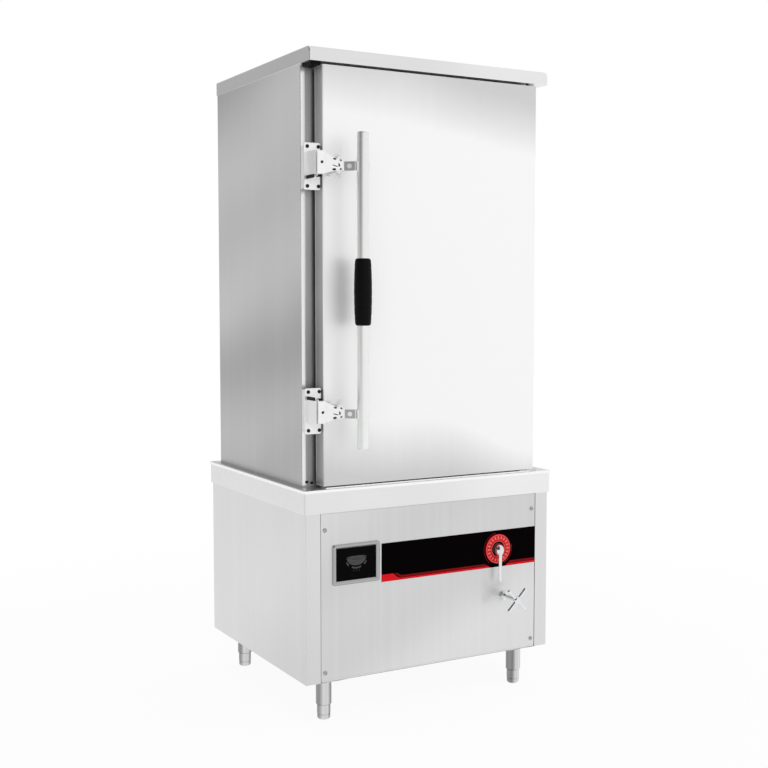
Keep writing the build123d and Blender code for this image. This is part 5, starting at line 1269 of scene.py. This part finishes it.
@dataclass
class ControlStrip:
    """The black strip with its red print, the dial and the power lever. Prints are in millimetres."""

    shop: Workshop
    red: tuple[tuple[tuple[float, float], ...], ...] = (
        ((0.2, 0.2), (320, 0.2), (314, 5), (53, 5), (45, 7.5), (32, 18), (0.2, 18)),
        ((366, 0.2), (460.8, 0.2), (460.8, 5.5), (372, 5.5)))
    wine: tuple[tuple[tuple[float, float], ...], ...] = (
        ((36.5, 18), (48, 8.8), (54, 6.4), (312, 6.4), (304, 11), (57, 11), (52, 12.5), (43, 18)),
        ((373.5, 6.6), (460.8, 6.6), (460.8, 12.5), (381, 12.5)))
    dial_bore: float = 19 * MM
    dial_marks: int = 20
    mark_half: float = 4.4
    arcs: tuple[tuple[float, float, float, float, int], ...] = ((41.5, 42.8, 100, 235, 40), (42, 44, -62, 12, 30))
    egg: Point = (13.2 * MM, 16.6 * MM, 16 * MM)
    egg_lean: float = 0.16
    egg_drop: float = 3 * MM
    egg_seat: float = 4 * MM
    skirt: float = 0.96
    finger: float = 5.4 * MM
    finger_taper: float = 1.9 * MM
    finger_flat: float = 0.78

    def build(self) -> None:
        """Build the print, the dial and the lever."""
        self.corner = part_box("control_strip")[0]
        self.dial = tuple(middle("dial_ring")[[0, 2]])
        self._print()
        self._dial()
        self._lever()

    def _print(self) -> None:
        """The red wedge, the lines along the lower edge, and the darker lines above them."""
        for name, shapes, finish in (("strip_red_print", self.red, "print_red"),
                                     ("strip_wine_print", self.wine, "print_wine")):
            shells = [skin(np.array(points, float) * MM, PRINT_SUNK, PRINT_PROUD, self.corner, Facing.FRONT)
                      for points in shapes]
            self.shop.piece(name, shells, finish, "cabinet", slot="dial_red")

    def _dial(self) -> None:
        """The dial: a rounded red ring with a pale outline, pale marks, and thin arcs outside it."""
        low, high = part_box("dial_ring")
        x, z = self.dial
        back, front = high[1], low[1]
        rise = back - front
        outer, inner = (high[0] - low[0]) / 2, self.dial_bore
        centre = (x, back, z)
        ring = rounded([(inner, 0), (outer, 0), (outer, rise), (inner, rise)], [0, 0, MM, 0.6 * MM], 5)
        self.shop.piece("dial_face", [lathe(np.concatenate([ring, ring[:1]]), centre, Facing.FRONT, 96)],
                        "dial_red", "cabinet", replaces=["dial_ring"])
        marks = []
        foot, top = rise - SUNK, rise + PRINT_PROUD
        for first, last in ((outer - 2.6 * MM, outer - 1.2 * MM), (inner + 0.7 * MM, inner + 1.7 * MM)):
            band = np.array([(first, foot), (last, foot), (last, top), (first, top), (first, foot)])
            marks.append(lathe(band, centre, Facing.FRONT, 96))
        for index in range(self.dial_marks):
            angle = 360 * index / self.dial_marks
            length = 14 if index % 5 == 0 else 12.5
            outline = sector(outer - length * MM, outer - 5 * MM, angle - self.mark_half, angle + self.mark_half, 4)
            marks.append(skin(outline, -foot, top, centre, Facing.FRONT))
        self.shop.piece("dial_marks", marks, "print_salmon", "cabinet", slot="dial_red")
        arcs = [skin(sector(near * MM, far * MM, start, end, steps), PRINT_SUNK, PRINT_PROUD,
                     (x, self.corner[1], z), Facing.FRONT)
                for near, far, start, end, steps in self.arcs]
        self.shop.piece("dial_arcs", arcs, "print_wine", "cabinet", slot="dial_red")

    def _lever(self) -> None:
        """The lever: an egg-shaped hub on a collar and a finger that bends outwards as it hangs.

        Formula of the hub: an ellipsoid whose width is multiplied by 1 + 0.16 times the height, so that it is
        fuller above than below. The finger's middle line falls straight and moves out by the square of the way.
        """
        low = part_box("switch_lever")[0]
        x, z = self.dial
        back = self.corner[1] - 0.6 * MM
        wide, tall, deep = self.egg
        turn, rise = np.meshgrid(np.linspace(0, TURN, 48, endpoint=False), np.linspace(0, math.pi / 2, 16))
        reach = np.cos(rise)
        up = reach * np.sin(turn)
        points = Facing.FRONT.place(wide * reach * np.cos(turn) * (1 + self.egg_lean * up), tall * up - self.egg_drop,
                                    deep * np.sin(rise) + self.egg_seat, (x, back, z))
        round_once = turn[:1]
        skirt = Facing.FRONT.place(
            wide * self.skirt * np.cos(round_once) * (1 + self.egg_lean * np.sin(round_once)),
            tall * self.skirt * np.sin(round_once) - self.egg_drop, 0 * round_once, (x, back, z))
        floor = Facing.FRONT.place(0 * round_once, 0 * round_once, 0 * round_once, (x, back, z))
        hub = np.concatenate([floor, skirt, points])
        way = np.linspace(0, 1, 40)
        length = z - low[2] - 3.2 * MM
        line = np.stack([x - 2 * MM - 3.2 * MM * way, back - 15 * MM - 4.4 * MM * way ** 2, z - way * length], axis=1)
        size = np.where(way < 0.08, self.finger, self.finger - self.finger_taper * way) * blunt(way, 0.045)
        finger = tube(line, size, size * self.finger_flat, (1, 0, 0))
        collar = lathe(np.array([(0, -0.4 * MM), (9.5 * MM, -0.4 * MM), (9.5 * MM, 3 * MM), (0, 3 * MM)]),
                       (x, back, z), Facing.FRONT)
        self.shop.piece("power_lever", [(hub, grid_faces(18, 48)), finger, collar], "bright_chrome",
                        "switch_lever", replaces=["switch_lever"])


@dataclass
class DisplayWindow:
    """The square display: a bevelled bezel round dark glass with a plain picture of a bowl in its steam ring."""

    shop: Workshop
    rim: float = 10 * MM
    corner: float = 5 * MM
    shy: float = 0.01 * MM
    raise_picture: float = 16 * MM
    crescents: tuple[tuple[tuple[float, float], tuple[float, float], float, float], ...] = (
        ((23, 6.4), (27, 21), 182, 358), ((24.5, 2), (28, 5.4), 186, 354), ((26.4, -1.6), (26.4, 2.4), 4, 176),
        ((28.5, 25), (31.5, 29.5), 206, 226), ((28.5, 25), (31.5, 29.5), 314, 334), ((27, 25.2), (30, 29), 244, 296))
    rays: tuple[float, ...] = (-8.0, 0.0, 8.0)
    ray: tuple[tuple[float, float], ...] = ((-0.7, 0), (0.7, 0), (0.25, 4), (-0.25, 4))
    ray_drop: float = 35

    def build(self) -> None:
        """Build the bezel and the picture."""
        low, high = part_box("display_bezel")
        x, _, z = middle("display_bezel")
        self.centre = (x, high[1], z)
        width, height, proud = high[0] - low[0], high[2] - low[2], high[1] - low[1]
        rim = self.rim
        profile = rounded([(0, 0), (0, proud * 0.55), (-2.6 * MM, proud), (-rim * 0.62, proud * 0.94),
                           (-rim + 0.6 * MM, proud * 0.42), (-rim, 0)],
                          [0, 0.8 * MM, 0.9 * MM, 0.7 * MM, 0.3 * MM, 0], 4)
        outline = rectangle(width - self.shy, height - self.shy, self.corner, 6)
        self.shop.piece("display_frame", [frame_sweep(outline, profile, self.centre, Facing.FRONT)],
                        "steel_screw", "cabinet", slot=slot_of("display_bezel"), replaces=["display_bezel"])
        self._picture()

    def _picture(self) -> None:
        """A dim bowl with a dark slot under its lip, an open ring below it and three short rays.

        Formula: the bowl lies between a shallow and a deep half ellipse, and the ring's parts between two larger ones.
        """
        face = (self.centre[0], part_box("display_lens")[0][1], self.centre[2] + self.raise_picture)
        outlines = []
        for inner, outer, start, end in self.crescents:
            angle = np.radians(np.linspace(start, end, 29))
            circle = np.stack([np.cos(angle), np.sin(angle)], axis=1)
            outlines.append(np.concatenate([circle * outer, (circle * inner)[::-1]]))
        outlines += [np.array(self.ray) + [across, -self.ray_drop] for across in self.rays]
        shells = [skin(outline * MM, PRINT_SUNK, PRINT_PROUD, face, Facing.FRONT) for outline in outlines]
        self.shop.piece("display_picture", shells, "print_grey", "cabinet", slot="display_glass")


@dataclass
class WaterTap:
    """The cross handle of the water tap."""

    shop: Workshop
    spokes: int = 4
    root: float = 4.4 * MM
    waist: float = 3.9 * MM
    knob: float = 5.1 * MM
    button: float = 4.6 * MM
    stem: tuple[float, float] = (5, 40)

    def build(self) -> None:
        """Build the hub, the flared spokes and the stem.

        Formula of a spoke: its radius falls from the root to the waist and grows with the square of the way to the
        knob, and the tip closes with a half round.
        """
        low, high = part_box("tap_handle")
        x, _, z = middle("tap_handle")
        reach = (high[0] - low[0]) / math.sqrt(2) - 2 * MM
        centre = (x, low[1] + 7 * MM, z)
        profile = rounded([(0, -7), (8, -7), (9.6, -3), (9.6, 3), (7.4, 6), (4.4, 7), (0, 7)],
                          [0, 1.2, 1.5, 1.5, 1.0, 1.0, 0], 4, closed=False) * MM
        shells = [lathe(profile, centre, Facing.FRONT)]
        button = np.concatenate([[(0.0, 6.0 * MM)], [(self.button, 6.0 * MM)], dome(self.button, 1.6 * MM, 6.6 * MM)])
        shells.append(lathe(button * [1, 0.84], centre, Facing.FRONT))
        way = np.linspace(0, 1, 40)
        size = self.waist + (self.root - self.waist) * (1 - way) ** 2 + (self.knob - self.waist) * way ** 2.2
        size = size * blunt(way, 0.13)
        for index in range(self.spokes):
            angle = math.pi / 4 + index * TURN / self.spokes
            ray = np.array([math.cos(angle), 0, math.sin(angle)])
            path = np.array(centre) + ray * (way * reach)[:, None]
            shells.append(tube(path, size, size, (0, 1, 0)))
        radius, length = self.stem
        stem = np.array([(0, -1), (radius, -1), (radius, length), (0, length)]) * MM
        shells.append(lathe(stem, (x, centre[1] + 5 * MM, z), Facing.BACK))
        self.shop.piece("tap_cross", shells, "bright_chrome", "tap_handle", replaces=["tap_handle"])


@dataclass
class LevellingFeet:
    """The four feet: a turned sleeve with a waist, a flat pad and a threaded stem above."""

    shop: Workshop
    stem_radius: float = 8 * MM
    thread_pitch: float = 2.0 * MM
    thread_depth: float = 0.6 * MM

    def build(self) -> None:
        """Build each foot in place of its solid."""
        for node in ("foot_front_left", "foot_front_right", "foot_rear_left", "foot_rear_right"):
            low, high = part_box(node)
            x, y, _ = middle(node)
            radius = (high[0] - low[0]) / 2
            body = self._body(radius)
            top = body[-1, 1]
            stem = self._stem(high[2] - top)
            stem[:, 1] += top
            profile = np.concatenate([body, stem])
            self.shop.piece(f"{node}_turned", [lathe(profile, (x, y, low[2]), Facing.UP, 56)], "foot_steel", node,
                            replaces=[node])

    def _body(self, radius: float) -> np.ndarray:
        """The sleeve's profile from the pad up, with a groove.

        Args:
            radius: The sleeve's radius.

        Returns:
            Rows of radius and height.
        """
        corners = [(0, 0), (radius - 4 * MM, 0), (radius - 0.6 * MM, 3.6 * MM), (radius - 0.6 * MM, 12 * MM),
                   (radius - 1.6 * MM, 12.6 * MM), (radius - 1.6 * MM, 14.4 * MM), (radius, 15 * MM),
                   (radius, 36.2 * MM), (radius - 1.6 * MM, 37.8 * MM), (self.stem_radius, 37.8 * MM)]
        sizes = [0, 1.5 * MM, 2 * MM, 0.3 * MM, 0.3 * MM, 0.3 * MM, 0.5 * MM, 0.6 * MM, 0.6 * MM, 0]
        return rounded(corners, sizes, 4, closed=False)

    def _stem(self, length: float) -> np.ndarray:
        """The stem's profile, with a ring for each thread and a closed top.

        Formula: radius = the stem's less half the thread's depth times 1 - cos of a full turn for each pitch.

        Args:
            length: The stem's length.

        Returns:
            Rows of radius and height.
        """
        way = np.linspace(0, length, 97)
        radius = self.stem_radius - self.thread_depth / 2 * (1 - np.cos(TURN * way / self.thread_pitch))
        return np.concatenate([np.stack([radius, way], axis=1), [(0.0, length)]])


@dataclass
class PanelScrews:
    """The four screws of the front panel, each on a cup washer. The washer's profile is in millimetres."""

    shop: Workshop
    reach: float = 5 * MM
    washer: tuple[tuple[float, float], ...] = ((0, 0), (6, 0), (5.6, 0.9), (0, 0.9))
    head: Point = (4.2 * MM, 2.0 * MM, 1.1 * MM)

    def build(self) -> None:
        """Build heads and washers at the corners of the solids' box."""
        low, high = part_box("front_panel_screws")
        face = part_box("front_panel")[0][1]
        washer = rounded(self.washer, [0, 0.2, 0.5, 0], 4, closed=False) * MM
        shells = []
        for x in (low[0] + self.reach, high[0] - self.reach):
            for z in (low[2] + self.reach, high[2] - self.reach):
                shells.append(lathe(washer, (x, face, z), Facing.FRONT, 40))
                shells.append(dimpled_head(*self.head, 2, (x, face - 0.8 * MM, z), Facing.FRONT))
        self.shop.piece("panel_screw_heads", shells, "steel_screw", "cabinet", replaces=["front_panel_screws"])


@dataclass
class DoorSeal:
    """The rubber seal round the door's inner side: a hollow bulb on a flat root, with two fine lips."""

    shop: Workshop
    corner: float = 16 * MM
    band: float = 14 * MM

    def build(self) -> None:
        """Carry the seal's profile round the door."""
        low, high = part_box("door_gasket")
        width, height, deep = high[0] - low[0], high[2] - low[2], high[1] - low[1]
        x, _, z = middle("door_gasket")
        centre = (x, low[1], z)
        band = self.band
        profile = rounded([(0, 0), (0, deep * 0.45), (-band * 0.22, deep * 0.55), (-band * 0.36, deep),
                           (-band * 0.74, deep), (-band * 0.86, deep * 0.5), (-band, deep * 0.42), (-band, 0)],
                          [0.2 * MM, MM, MM, 2 * MM, 2 * MM, MM, 0.8 * MM, 0.2 * MM], 4)
        outline = rectangle(width, height, self.corner, 10)
        self.shop.piece("door_seal", [frame_sweep(outline, profile, centre, Facing.BACK)], "seal_rubber", "door",
                        replaces=["door_gasket"])


@dataclass
class Studio:
    """The pale floor, the soft world, the lamps and the camera at the photograph's viewing angle."""

    camera_place: Point = (-1.5649, -2.8007, 1.0225)
    heading: float = 29.5
    dip: float = 4.1
    lens: float = 56.29
    lamps: tuple[tuple[str, Point, Point, float, float], ...] = (
        ("key_lamp", (-2.6, -3.4, 3.6), (0.0, 0.0, 0.9), 3.0, 60.0),
        ("fill_lamp", (3.4, -3.0, 2.2), (0.0, 0.0, 0.8), 3.0, 42.0),
        ("top_lamp", (0.0, 0.6, 4.4), (0.0, 0.0, 0.8), 3.0, 36.0),
        ("back_lamp", (1.2, 4.0, 2.6), (0.0, 0.0, 0.8), 3.0, 26.0),
    )
    bright_side: Point = (0.62, -0.7, 0.35)
    bright_ramp: tuple[float, float, float, float] = (-0.9, 0.5, 0.5, 0.95)
    plain_share: float = 0.62
    dark_side: Point = (-0.7, -0.29, 0.65)
    dark_ramp: tuple[float, float, float, float] = (0.66, 0.86, 1.0, 0.08)
    floor_tone: float = 0.86
    floor_ramp: tuple[float, float, float, float] = (0.5, 2.6, 0.93, 1.0)

    def build(self) -> None:
        """Build the studio and set the view transform."""
        bpy.context.scene.view_settings.view_transform = "Standard"
        self._world()
        self._floor()
        for lamp in self.lamps:
            self._lamp(*lamp)
        self._camera()

    @staticmethod
    def _seen(tree: Tree) -> Socket:
        """The socket that is 1 for camera, glossy and transmission rays, and 0 for others.

        Args:
            tree: The tree that gets the nodes.

        Returns:
            The socket.
        """
        path = tree.nodes.new("ShaderNodeLightPath")
        first = NodeGroups.math(tree, "ADD", path.outputs["Is Camera Ray"], path.outputs["Is Glossy Ray"])
        return NodeGroups.math(tree, "ADD", first, path.outputs["Is Transmission Ray"], clamp=True)

    def _world(self) -> None:
        """White to the camera, a broad soft gradient to metal and glass, and a plain dimmer light to the rest.

        High up on the left hangs a dark cloth that only metal and glass mirror.
        """
        world = bpy.data.worlds.new("soft_room")
        bpy.context.scene.world = world
        world.use_nodes = True
        tree = world.node_tree
        back = tree.nodes["Background"]
        path = tree.nodes.new("ShaderNodeLightPath")
        way = tree.nodes.new("ShaderNodeTexCoord").outputs["Generated"]
        room = NodeGroups.ramp(tree, NodeGroups.dot(tree, way, self.bright_side), *self.bright_ramp)
        cloth = NodeGroups.ramp(tree, NodeGroups.dot(tree, way, self.dark_side), *self.dark_ramp)
        glossy = NodeGroups.math(tree, "MULTIPLY", room, cloth)
        plain = NodeGroups.math(tree, "MULTIPLY", room, self.plain_share)
        polished = NodeGroups.math(tree, "ADD", path.outputs["Is Glossy Ray"], path.outputs["Is Transmission Ray"],
                                   clamp=True)
        strength = self._choose(tree, polished, plain, glossy)
        strength = self._choose(tree, path.outputs["Is Camera Ray"], strength, 1.0)
        back.inputs["Color"].default_value = (1.0, 1.0, 1.0, 1.0)
        tree.links.new(strength, back.inputs["Strength"])

    @staticmethod
    def _choose(tree: Tree, share: Socket, first: Value, second: Value) -> Socket:
        """Mix two values.

        Args:
            tree: The tree that gets the node.
            share: The socket of the second value's share.
            first: A socket or a number.
            second: A socket or a number.

        Returns:
            The result's socket.
        """
        node = tree.nodes.new("ShaderNodeMix")
        tree.links.new(share, node.inputs[0])
        for index, value in ((2, first), (3, second)):
            if isinstance(value, float):
                node.inputs[index].default_value = value
            else:
                tree.links.new(value, node.inputs[index])
        return node.outputs[0]

    def _floor(self) -> None:
        """A wide pale disc on which the object keeps a faint shadow.

        Formula of the glow's share for the rays that see it: a smooth step of the distance, 0.93 up to 0.5 m and 1
        from 2.6 m on.
        """
        rings = np.array([(0.0, 0.0), (14.0, 0.0), (14.0, -0.01), (0.0, -0.01)])
        mesh = build_mesh("pale_floor", [lathe(rings, (0, 0, 0), Facing.UP, 96)])
        floor = bpy.data.objects.new("pale_floor", mesh)
        bpy.context.scene.collection.objects.link(floor)
        material = bpy.data.materials.new("floor_white")
        material.use_nodes = True
        tree = material.node_tree
        shader = tree.nodes["Principled BSDF"]
        shader.inputs["Base Color"].default_value = (self.floor_tone, self.floor_tone, self.floor_tone, 1.0)
        shader.inputs["Roughness"].default_value = 0.9
        shader.inputs["Specular IOR Level"].default_value = 0.0
        glow = tree.nodes.new("ShaderNodeEmission")
        blend = tree.nodes.new("ShaderNodeMixShader")
        distance = tree.nodes.new("ShaderNodeVectorMath")
        distance.operation = "LENGTH"
        tree.links.new(tree.nodes.new("ShaderNodeTexCoord").outputs["Object"], distance.inputs[0])
        share = NodeGroups.ramp(tree, distance.outputs["Value"], *self.floor_ramp)
        tree.links.new(NodeGroups.math(tree, "MULTIPLY", self._seen(tree), share), blend.inputs[0])
        tree.links.new(shader.outputs[0], blend.inputs[1])
        tree.links.new(glow.outputs[0], blend.inputs[2])
        tree.links.new(blend.outputs[0], tree.nodes["Material Output"].inputs["Surface"])
        mesh.materials.append(material)

    @staticmethod
    def _lamp(name: str, place: Point, target: Point, size: float, power: float) -> None:
        """A square soft lamp that looks at a point.

        Args:
            name: The lamp's name.
            place: Where it hangs.
            target: The point it looks at.
            size: The square's side.
            power: Its power in watts.
        """
        light = bpy.data.lights.new(name, "AREA")
        light.size = size
        light.energy = power
        lamp = bpy.data.objects.new(name, light)
        lamp.visible_glossy = False
        bpy.context.scene.collection.objects.link(lamp)
        away = np.array(place) - np.array(target)
        flat = math.hypot(away[0], away[1])
        lamp.location = place
        lamp.rotation_euler = (math.atan2(flat, away[2]), 0.0, math.atan2(away[0], -away[1]))

    def _camera(self) -> None:
        """The camera, fitted to the photograph's edges."""
        data = bpy.data.cameras.new("photo_camera")
        data.lens = self.lens
        data.sensor_width = 36.0
        data.clip_end = 100.0
        camera = bpy.data.objects.new("photo_camera", data)
        bpy.context.scene.collection.objects.link(camera)
        camera.location = self.camera_place
        camera.rotation_euler = (math.radians(90 - self.dip), 0.0, math.radians(-self.heading))
        bpy.context.scene.camera = camera


FITTINGS = (CabinetTrim, PoleHandle, LatchFittings, ControlStrip, DisplayWindow, WaterTap, LevellingFeet,
            PanelScrews, DoorSeal)


def main() -> None:
    """Build every sub-assembly in order."""
    logging.basicConfig(level=logging.INFO, format="%(name)s %(message)s")
    shop = Workshop()
    SheetWork(shop).build()
    for fitting in FITTINGS:
        fitting(shop).build()
    Studio().build()


if __name__ == "__main__":
    main()
